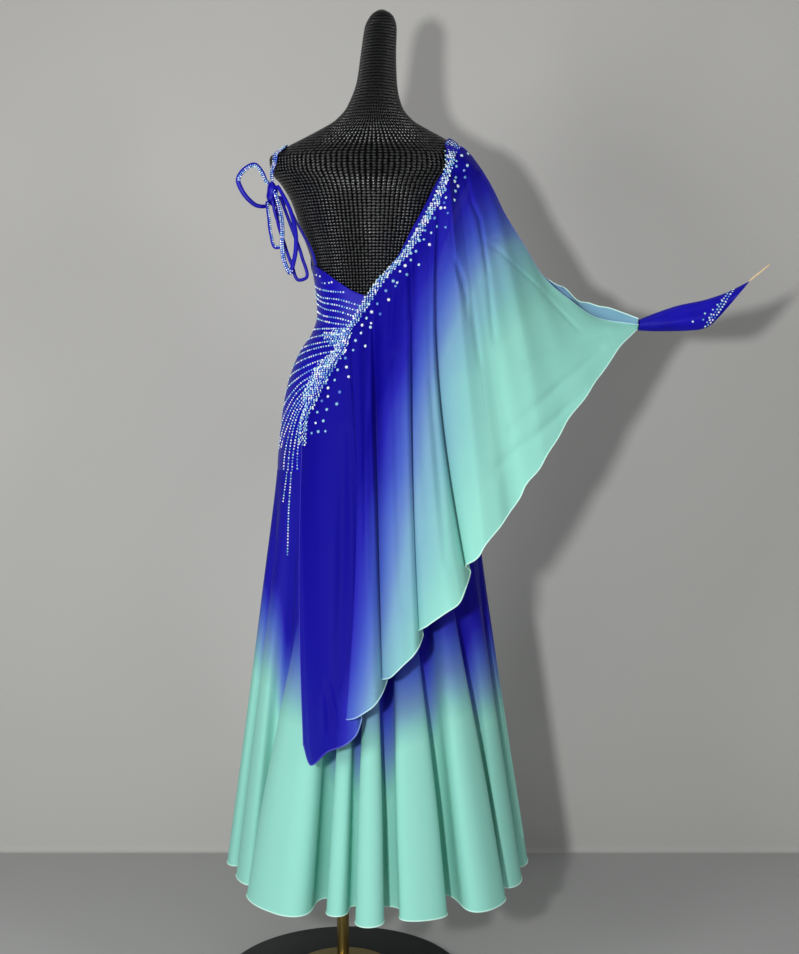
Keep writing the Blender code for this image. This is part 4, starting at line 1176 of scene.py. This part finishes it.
# the knot at the left shoulder, its cord loops and the two straps
bow = {
    "knotMiddle": (-0.1215, -0.034, 1.4850),
    "knotHalfSizes": (0.0100, 0.0100, 0.0215),
    "cordRadius": 0.0029,
    "knotClear": 0.0004,      # from the knot to the cord that leaves it
    "nextPoint": 2.5,         # the cord's next point, this many cord radii further out
    # each rouleau lies flat: half its width, and its thickness as a share of that
    "loopWidths": {"side": (0.0044, 0.62), "outer": (0.0030, 0.9), "middle": (0.0040, 0.68),
                   "inner": (0.0031, 0.9)},
    # each loop: the way it leaves the knot, its route, the way it comes back
    "loops": {
        "side": ((-0.6, -0.1, 1.0), (
            (-0.1400, -0.037, 1.5240), (-0.1510, -0.042, 1.5350), (-0.1680, -0.046, 1.5275),
            (-0.1810, -0.046, 1.5080), (-0.1750, -0.044, 1.4900), (-0.1610, -0.041, 1.4720),
            (-0.1500, -0.038, 1.4640), (-0.1410, -0.036, 1.4622),
        ), (-0.8, 0.1, -1.2)),
        "outer": ((-0.60, -0.75, -0.90), (
            (-0.1270, -0.044, 1.4420), (-0.1230, -0.050, 1.4120), (-0.1135, -0.052, 1.3875),
            (-0.1035, -0.052, 1.3900), (-0.1060, -0.050, 1.4200), (-0.1150, -0.047, 1.4480),
        ), (0.10, -1.0, -0.60)),
        "middle": ((0.45, -1.0, 0.05), (
            (-0.1040, -0.053, 1.4450), (-0.1010, -0.064, 1.4200), (-0.1010, -0.066, 1.3850),
            (-0.0950, -0.066, 1.3540), (-0.0880, -0.066, 1.3420), (-0.0810, -0.064, 1.3620),
            (-0.0770, -0.060, 1.4050), (-0.0870, -0.053, 1.4520),
        ), (0.80, -0.70, 0.55)),
        "inner": ((0.55, -0.20, -1.0), (
            (-0.1120, -0.038, 1.4400), (-0.1010, -0.041, 1.4000), (-0.0860, -0.043, 1.3570),
            (-0.0730, -0.044, 1.3300), (-0.0620, -0.043, 1.3330), (-0.0680, -0.042, 1.3720),
            (-0.0830, -0.041, 1.4150), (-0.0970, -0.041, 1.4530),
        ), (1.0, -0.35, -0.35)),
    },
    "pointsPerLoop": 120, "swell": 0.4,  # how soon a loop swells to its full width: a power
    "winding": 0.085, "turnsRound": 5,  # how deep the knot's grooves are
    # straps: angle and height on the form, lift off it
    "shoulderStrap": (
        (195.5, 1.5153, 0.0140), (198.0, 1.5240, 0.0080), (201.0, 1.5400, 0.0016),
        (202.5, 1.5510, 0.0016), (200.0, 1.5630, 0.0018), (180.0, 1.5715, 0.0018),
        (163.0, 1.5620, 0.0018), (153.0, 1.5410, 0.0016), (146.0, 1.5100, 0.0012),
        (140.0, 1.4700, 0.0012), (135.0, 1.4247, 0.0012),
    ),
    "sideStrap": (
        (193.0, 1.4900, 0.0206), (194.0, 1.4700, 0.0125), (196.0, 1.4400, 0.0070),
        (199.5, 1.4100, 0.0036), (202.0, 1.3850, 0.0014), (203.0, 1.3700, 0.0012),
        (203.0, 1.3572, 0.0012),
    ),
    "strapHalfWidth": 0.006, "strapHalfThickness": 0.0009, "strapBluntness": 0.6,
}


def smoothRoute(points, count):
    # cubic pieces through the points, at even steps of the length
    points = np.asarray(points, float)
    keys = arcLengths(points)
    slopes = np.gradient(points, keys, axis=0)
    return cubicPieces(keys, points, slopes, np.linspace(0, keys[-1], count))


def knotFace(direction):
    # where a cord stands on the knot, and its next point straight out
    sizes = np.array(bow["knotHalfSizes"])
    direction = np.array(direction) * sizes
    face = direction / np.linalg.norm(direction / sizes)
    out = unit(face / sizes ** 2)
    middle = np.array(bow["knotMiddle"])
    start = middle + face + out * bow["knotClear"]
    return [start, middle + face + out * bow["nextPoint"] * bow["cordRadius"]]


def strapPath(rows):
    # a route over the form by angle, height and lift, with the form's normals
    angle, z, lift = columnsAt(rows, np.linspace(0, len(rows) - 1, len(rows) * 10))
    angle = np.radians(angle)
    normals = surfaceNormals(bodySurface, angle, z)
    return bodySurface(angle, z) + normals * (lift + bow["strapHalfThickness"])[:, None], normals


def buildLoops(routes):
    # each loop leaves the knot and comes back to it; its width grows by a power of half a sine wave
    for name, (leaving, points, returning) in bow["loops"].items():
        start = knotFace(leaving)
        finish = knotFace(returning)
        between = smoothRoute([start[1], *points, finish[1]], bow["pointsPerLoop"] - 2)
        route = np.concatenate([start[:1], between, finish[:1]])
        half, flat = bow["loopWidths"][name]
        full = np.sin(np.linspace(0, math.pi, len(route))) ** bow["swell"]
        radius = bow["cordRadius"] + (half - bow["cordRadius"]) * full
        loop = cordAlong("bowLoop" + name.capitalize(), route, (0, 1, 0), radius, 12, crepe, flat=flat)
        standsFor(loop, "bow_loop_" + name)
        routes[name] = route


def buildKnot():
    # an egg wound by turns of the same cord
    turn, lift = np.meshgrid(anglesRound(48), np.radians(np.linspace(-86, 86, 40)))
    wound = 1 + bow["winding"] * np.sin(bow["turnsRound"] * lift + turn) * np.cos(lift)
    shape = np.stack([np.cos(lift) * np.cos(turn) * wound, np.cos(lift) * np.sin(turn) * wound,
                      np.sin(lift)], -1)
    rings = np.array(bow["knotMiddle"]) + np.array(bow["knotHalfSizes"]) * shape
    standsFor(ringStack("bowKnot", rings, crepe), "bow_knot")


def buildStraps(routes):
    # a soft flat band, an oval across
    turns = anglesRound(16)
    for name, node in (("shoulderStrap", "strap_shoulder"), ("sideStrap", "strap_side")):
        path, normals = strapPath(bow[name])
        across = unit(np.cross(normals, unit(np.gradient(path, axis=0))))
        oval = np.sign(np.cos(turns)) * np.abs(np.cos(turns)) ** bow["strapBluntness"]
        rings = (path[:, None] + bow["strapHalfWidth"] * oval[None, :, None] * across[:, None]
                 + bow["strapHalfThickness"] * np.sin(turns)[None, :, None] * normals[:, None])
        standsFor(ringStack(name, rings, crepe), node)
        routes[name] = path
        routes[name + "Normals"] = normals


routes = {}
buildLoops(routes)
buildKnot()
buildStraps(routes)
print("straps and bow ready")


# flat-backed stones, by where they are set
stones = {
    "seed": 12,
    "bodiceLift": 0.0002, "skirtLift": 0.0013, "clothLift": 0.0003,
    # how far hand-set stones stray along a line and in the band, and how their sizes vary
    "lineStray": 0.0003, "bandStray": 0.0006,
    "lineSizes": (0.85, 1.1), "bandSizes": (0.75, 1.25),
    "singleSizes": (0.8, 1.15), "cordSizes": (0.8, 1.2),
    "lineRadius": 0.0019, "lineSpacing": 0.0054,
    # lines that fan out from the seam round the left side: angle and height at five places,
    # from the left front to the seam
    "fan": (
        (150, 1.335, 187, 1.322, 204, 1.315, 226, 1.309, 242, 1.307),
        (148, 1.322, 184, 1.312, 210, 1.299, 232, 1.295, 255, 1.284),
        (147, 1.312, 187, 1.302, 211, 1.290, 230, 1.285, 254, 1.274),
        (146, 1.300, 188, 1.290, 217, 1.277, 233, 1.273, 252, 1.263),
        (145, 1.288, 188, 1.276, 214, 1.265, 232, 1.261, 249, 1.254),
        (145, 1.272, 190, 1.262, 220, 1.254, 236, 1.250, 250, 1.248),
        (145, 1.238, 195, 1.241, 219, 1.242, 234, 1.242, 247, 1.241),
        (145, 1.212, 192, 1.223, 216, 1.229, 231, 1.231, 249, 1.233),
        (146, 1.192, 190, 1.206, 216, 1.215, 231, 1.219, 246, 1.221),
        (148, 1.172, 188, 1.192, 215, 1.205, 231, 1.211, 245, 1.214),
        (150, 1.146, 187, 1.173, 212, 1.189, 229, 1.198, 244, 1.203),
        (152, 1.116, 185, 1.153, 210, 1.171, 224, 1.182, 239, 1.190),
        (156, 1.080, 182, 1.125, 205, 1.149, 220, 1.166, 236, 1.177),
        (162, 1.040, 183, 1.092, 202, 1.122, 215, 1.146, 232, 1.164),
        (176, 1.010, 188, 1.062, 201, 1.098, 212, 1.128, 229, 1.154),
        (189, 1.025, 195, 1.052, 203, 1.082, 212, 1.112, 227, 1.146),
        (196.5, 1.028, 200, 1.046, 206, 1.070, 213, 1.102, 226, 1.136),
        (204, 0.989, 204.5, 1.012, 208, 1.052, 214, 1.092, 225, 1.128),
        (208.5, 0.931, 209.5, 0.972, 211.5, 1.040, 216, 1.086, 224, 1.120),
        (216, 0.836, 214.6, 0.930, 214.8, 1.000, 217.5, 1.060, 224, 1.112),
        (220, 0.992, 219.5, 1.020, 219.6, 1.050, 221, 1.085, 225, 1.104),
    ),
    # the thick band on the seam: height, and how far it reaches to the left and right of the seam
    "bandWidths": (
        (1.036, 0.006, 0.003), (1.078, 0.007, 0.003), (1.106, 0.011, 0.003), (1.118, 0.024, 0.003),
        (1.140, 0.026, 0.003), (1.156, 0.030, 0.003), (1.168, 0.028, 0.003), (1.180, 0.027, 0.003),
        (1.192, 0.023, 0.003), (1.206, 0.016, 0.003), (1.214, 0.025, 0.003), (1.222, 0.041, 0.003),
        (1.234, 0.047, 0.003), (1.242, 0.013, 0.003), (1.248, 0.005, 0.003), (1.262, 0.007, 0.004),
        (1.280, 0.007, 0.008), (1.302, 0.002, 0.012), (1.400, 0.001, 0.012), (1.500, 0.001, 0.013),
        (1.566, 0.003, 0.014), (1.572, 0.004, 0.014),
    ),
    "bandSpacing": 0.0043, "bandRowShare": 0.87, "bandRadius": 0.0019, "bandLift": 0.0004,
    "bandReach": 0.001,       # a stone lies on the float where that is in front, or this little behind
    # single stones over the float: x, z
    "singles": (
        (0.054, 1.285), (0.069, 1.285), (0.089, 1.292), (0.059, 1.271), (0.074, 1.267), (0.050, 1.260),
        (0.042, 1.248), (0.057, 1.244), (0.040, 1.234), (0.030, 1.221), (0.048, 1.211), (0.026, 1.204),
        (0.012, 1.190), (0.014, 1.174), (-0.002, 1.169), (0.018, 1.157), (-0.007, 1.151), (-0.019, 1.137),
        (0.002, 1.130), (-0.019, 1.122), (-0.030, 1.114), (-0.003, 1.109), (-0.021, 1.099), (-0.038, 1.094),
        (-0.027, 1.079), (-0.041, 1.075), (-0.023, 1.061), (-0.036, 1.060), (-0.048, 1.057),
        (0.209, 1.538), (0.219, 1.550), (0.229, 1.532), (0.206, 1.503), (0.225, 1.512), (0.207, 1.485),
        (0.190, 1.472), (0.205, 1.468), (0.188, 1.454), (0.170, 1.436), (0.174, 1.421), (0.189, 1.419),
        (0.153, 1.414), (0.164, 1.410), (0.161, 1.389), (0.137, 1.377), (0.142, 1.353), (0.121, 1.336),
        (0.204, 1.560), (0.231, 1.556), (0.197, 1.520), (0.190, 1.500), (0.178, 1.462), (0.151, 1.398),
        (0.128, 1.362), (0.109, 1.342), (0.097, 1.325), (0.084, 1.308), (0.104, 1.322), (0.118, 1.352),
        (0.209, 1.529), (0.223, 1.523), (0.208, 1.510), (0.212, 1.495), (0.189, 1.486), (0.187, 1.463),
        (0.181, 1.454), (0.193, 1.444), (0.143, 1.396), (0.128, 1.374), (0.101, 1.316), (0.058, 1.251),
    ),
    "singleRadius": 0.0029,
    # on the cuff: x, z
    "cuffStones": (
        (0.6643, 1.2476), (0.6691, 1.2508), (0.6735, 1.2545), (0.6770, 1.2590), (0.6805, 1.2635),
        (0.6838, 1.2682), (0.6870, 1.2730), (0.6902, 1.2778), (0.6935, 1.2826), (0.6965, 1.2872),
        (0.6995, 1.2920), (0.7025, 1.2968), (0.7055, 1.3016), (0.7090, 1.3060), (0.7130, 1.3105),
        (0.7160, 1.3140), (0.6668, 1.2550), (0.6712, 1.2588), (0.6745, 1.2636), (0.6778, 1.2684),
        (0.6808, 1.2732), (0.6842, 1.2780), (0.6876, 1.2830), (0.6908, 1.2880), (0.6940, 1.2930),
        (0.6968, 1.2980), (0.7002, 1.3022), (0.7038, 1.3066), (0.7075, 1.3104), (0.6700, 1.2500),
        (0.6700, 1.2630), (0.6732, 1.2690), (0.6400, 1.2559), (0.6590, 1.2595), (0.6619, 1.2707),
        (0.6764, 1.2775), (0.6848, 1.2865), (0.6929, 1.2950),
    ),
    "cuffRadius": 0.0019,
    # on the back panel: along its top edge under the side strap, and on top of the right shoulder
    "edgeStones": (
        (-0.050, 1.342), (-0.046, 1.341), (-0.042, 1.340), (-0.035, 1.337), (-0.031, 1.325),
        (-0.026, 1.324), (-0.013, 1.325), (-0.018, 1.324), (0.188, 1.577), (0.1915, 1.580), (0.195, 1.577),
        (0.1985, 1.580), (0.202, 1.577), (0.205, 1.580), (0.1885, 1.571), (0.192, 1.574), (0.1985, 1.574),
        (0.205, 1.574), (0.2085, 1.577), (0.195, 1.571), (0.202, 1.571), (0.2085, 1.571),
    ),
    # rows along the cords and straps: where each starts and ends as a share of the length, and how
    # far off the middle it lies as a share of the half width
    "cordRows": {
        "side": ((0.02, 0.52, 0.70), (0.02, 0.52, 0.05)),
        "outer": ((0.04, 0.52, 0.60),),
        "middle": ((0.02, 0.50, -0.50), (0.02, 0.50, 0.45)),
        "shoulderStrap": ((0.0, 1.0, -0.72), (0.0, 1.0, 0.0), (0.0, 1.0, 0.72)),
        "sideStrap": ((0.0, 0.16, -0.40), (0.0, 0.12, 0.40)),
    },
    "cordSpacing": 0.0039, "cordRadius": 0.0015,
    "cordLift": 1.02, "cordTilt": 0.6,  # against the cord's thickness; how far the side rows lean out
}


def bodyOrSkirt(angle, z, lift):
    # off the bodice above the hip seam, off the skirt's own surface below it
    above = onBody(angle, np.maximum(z, bodice["hipSeamZ"]), bodice["lift"] + lift)
    normalAbove = surfaceNormals(bodySurface, angle, np.maximum(z, bodice["hipSeamZ"]))
    level = np.clip((bodice["hipSeamZ"] - z) / (bodice["hipSeamZ"] - skirt["hemZ"]), 0, 1)
    turned = np.arctan2(skirt["hipBackDepth"] * np.sin(angle), skirt["hipHalfWidth"] * np.cos(angle))
    turned = np.mod(turned, 2 * math.pi)
    normalBelow = -surfaceNormals(skirtSurface, turned, level)
    below = skirtSurface(turned, level) + normalBelow * np.asarray(lift)[..., None]
    high = (z >= bodice["hipSeamZ"])[..., None]
    return np.where(high, above, below), np.where(high, normalAbove, normalBelow)


def fanStones():
    # stones at even distances along each line of the fan, each a little astray
    random = np.random.default_rng(stones["seed"])
    angles = []
    heights = []
    for row in stones["fan"]:
        keys = np.array(row).reshape(-1, 2)
        angle, z = columnsAt(keys, np.linspace(0, len(keys) - 1, 300))
        angle = np.radians(angle)
        length = arcLengths(onBody(angle, z, 0.004))
        at = np.arange(0, length[-1], stones["lineSpacing"])
        at = at + random.uniform(-stones["lineStray"], stones["lineStray"], len(at))
        angles.append(np.interp(at, length, angle))
        heights.append(np.interp(at, length, z))
    angle = np.concatenate(angles)
    z = np.concatenate(heights)
    lift = np.where(z < bodice["hipSeamZ"], stones["skirtLift"], stones["bodiceLift"])
    centres, normals = bodyOrSkirt(angle, z, lift)
    sizes = stones["lineRadius"] * random.uniform(*stones["lineSizes"], len(z))
    return centres, normals, sizes


def landOn(piece, x, z):
    # the first point of a piece met from straight behind, its normal, and which places met it
    tree = BVHTree.FromObject(piece, bpy.context.evaluated_depsgraph_get())
    found = [tree.ray_cast((a, -1.0, b), (0, 1, 0)) for a, b in zip(x, z)]
    met = np.array([hit[0] is not None for hit in found])
    points = np.array([hit[0] for hit in found if hit[0] is not None])
    normals = np.array([hit[1] for hit in found if hit[0] is not None])
    normals = np.where(normals[:, 1:2] > 0, -normals, normals)
    return points, normals, met


def bandStones():
    # rows of stones at even heights, each across the seam, every other row set off
    random = np.random.default_rng(stones["seed"] + 1)
    keys, left, right = np.array(stones["bandWidths"]).T
    step = stones["bandSpacing"]
    levels = np.arange(keys[0], keys[-1], step * stones["bandRowShare"])
    rows = [np.arange(-a, b, step) + (k % 2) * step / 2
            for k, (a, b) in enumerate(zip(np.interp(levels, keys, left), np.interp(levels, keys, right)))]
    z = np.repeat(levels, [len(row) for row in rows])
    x = seamX(z) + np.concatenate(rows)
    x = x + random.uniform(-stones["bandStray"], stones["bandStray"], len(x))
    z = z + random.uniform(-stones["bandStray"], stones["bandStray"], len(z))
    points = onBack(x, z, bodice["lift"] + shoulderEase(z) + stones["bandLift"])
    normals = surfaceNormals(bodySurface, backAngle(x, z), z)
    # what reaches past the seam lies on the float
    onFloat, floatNormals, met = landOn(floatBack, x, z)
    nearer = np.zeros(len(x), bool)
    nearer[met] = onFloat[:, 1] < points[met, 1] + stones["bandReach"]
    points[nearer] = (onFloat + floatNormals * stones["clothLift"])[nearer[met]]
    normals[nearer] = floatNormals[nearer[met]]
    sizes = stones["bandRadius"] * random.uniform(*stones["bandSizes"], len(z))
    return points, normals, sizes


def placedStones(piece, table, radius):
    # stones at given x, z, each on the first surface met from straight behind
    x, z = np.array(table).T
    points, normals = landOn(piece, x, z)[:2]
    spread = np.random.default_rng(stones["seed"] + 2).uniform(*stones["singleSizes"], len(points))
    return points + normals * stones["clothLift"], normals, radius * spread


def cordStones():
    # rows of small stones on the outer face of the loops and straps
    centres = []
    normals = []
    for name, rows in stones["cordRows"].items():
        route = routes[name]
        length = arcLengths(route)
        along = unit(np.gradient(route, axis=0))
        if name in bow["loopWidths"]:
            half, flat = bow["loopWidths"][name]
            thick = half * flat
            outward = np.broadcast_to((0.0, -1.0, 0.0), route.shape)
        else:
            half, thick = bow["strapHalfWidth"], bow["strapHalfThickness"]
            outward = routes[name + "Normals"]
        side = unit(np.cross(outward, along))
        up = np.cross(along, side)
        for begin, end, off in rows:
            at = np.arange(begin * length[-1], end * length[-1], stones["cordSpacing"])
            row = route + side * off * half + up * thick * math.sqrt(1 - off ** 2) * stones["cordLift"]
            centres.append(np.stack([np.interp(at, length, column) for column in row.T], -1))
            tilted = up + side * off * stones["cordTilt"]
            normals.append(np.stack([np.interp(at, length, column) for column in tilted.T], -1))
    centres = np.concatenate(centres)
    spread = np.random.default_rng(stones["seed"] + 3).uniform(*stones["cordSizes"], len(centres))
    return centres, unit(np.concatenate(normals)), stones["cordRadius"] * spread


def buildStones():
    # one piece for each group
    for name, (centres, normals, sizes) in (
        ("stonesFan", fanStones()), ("stonesBand", bandStones()), ("stonesCord", cordStones()),
        ("stonesScatter", placedStones(floatBack, stones["singles"], stones["singleRadius"])),
        ("stonesCuff", placedStones(gauntletCuff, stones["cuffStones"], stones["cuffRadius"])),
        ("stonesEdge", placedStones(bodiceBack, stones["edgeStones"], stones["cuffRadius"])),
    ):
        piece = stonesAt(name, centres, normals, sizes, stone)
        print(name, len(centres))


buildStones()
print("stones ready")


# a wall, a floor and four lamps, none of it part of the dress
studio = {
    "wallY": 0.69,            # the wall stands this far behind the pole
    "coveRadius": 0.012,
    "halfWidth": 6.0,
    "height": 4.5,
    "reach": 5.0,             # the floor runs this far to the front
    "wallColour": "#c1c0bd",
    "floorColour": "#b4b5b4",
    "aim": (0.12, 0.0, 1.05),
    # name: place, size, power
    "lamps": {
        "keyLight": ((-0.30, -2.5, 1.25), 0.12, 37.0),
        "leftSoftbox": ((-1.6, -2.0, 1.2), 0.9, 24.0),
        "rightFill": ((2.3, -2.2, 1.9), 0.7, 15.0),
        "topPanel": ((0.1, -0.7, 3.4), 1.6, 6.0),
    },
    "skyColour": "#e4e4e2",
    "skyStrength": 0.16,
}


def aimed(thing, target):
    # turn a lamp to face its target
    here = np.array(thing.location)
    away = np.array(target) - here
    thing.rotation_euler = (
        math.atan2(math.hypot(away[0], away[1]), -away[2]), 0, math.atan2(away[1], away[0]) - math.pi / 2)


def areaLight(name, at, aim, size, power):
    # a round lamp that faces a target
    data = bpy.data.lights.new(name, "AREA")
    data.shape = "DISK"
    data.size = size
    data.energy = power
    lamp = bpy.data.objects.new(name, data)
    lamp.location = at
    aimed(lamp, aim)
    bpy.context.scene.collection.objects.link(lamp)


def buildRoom():
    # floor and wall, whose lines turn into each other by a quarter circle, then lamps and sky
    s = studio
    quarter = np.radians(np.linspace(0, 90, 9))
    r = s["coveRadius"]
    floorLine = [(-s["reach"], 0.0), (s["wallY"] - r, 0.0)]
    wallLine = [(s["wallY"] - r + r * math.sin(q), r - r * math.cos(q)) for q in quarter]
    wallLine += [(s["wallY"], s["height"])]
    for name, line, colour in (("studioFloor", floorLine, s["floorColour"]),
                               ("studioWall", wallLine, s["wallColour"])):
        points = [(x, y, z) for x in (-s["halfWidth"], s["halfWidth"]) for y, z in line]
        mesh = bpy.data.meshes.new(name)
        mesh.from_pydata(points, [], gridQuads(2, len(line)).tolist())
        oneSided = name == "studioWall"
        mesh.materials.append(plainPaint(name + "Paint", colour, oneSided))
        mesh.shade_smooth()
        sheet = bpy.data.objects.new(name, mesh)
        bpy.context.scene.collection.objects.link(sheet)
    for name, (place, size, power) in s["lamps"].items():
        areaLight(name, place, s["aim"], size, power)
    world = bpy.data.worlds.new("softRoom")
    world.use_nodes = True
    sky = world.node_tree.nodes["Background"]
    sky.inputs["Color"].default_value = linear(s["skyColour"])
    sky.inputs["Strength"].default_value = s["skyStrength"]
    bpy.context.scene.world = world


# where the dress is looked at from
view = {
    "standsAt": (0.108, -2.5, 1.18),
    "tiltDown": 4.8,          # degrees
    "lens": 50.94,            # mm, on a film 36 mm high
    "filmHeight": 36,
}


def placeCamera():
    # level, but for its tilt down
    data = bpy.data.cameras.new("camera")
    data.sensor_fit = "VERTICAL"
    data.sensor_height = view["filmHeight"]
    data.lens = view["lens"]
    camera = bpy.data.objects.new("camera", data)
    camera.location = view["standsAt"]
    camera.rotation_euler = (math.radians(90 - view["tiltDown"]), 0, 0)
    bpy.context.scene.collection.objects.link(camera)
    bpy.context.scene.camera = camera


buildRoom()
placeCamera()
bpy.context.scene.view_settings.view_transform = "Standard"
print("room, lights and camera ready")
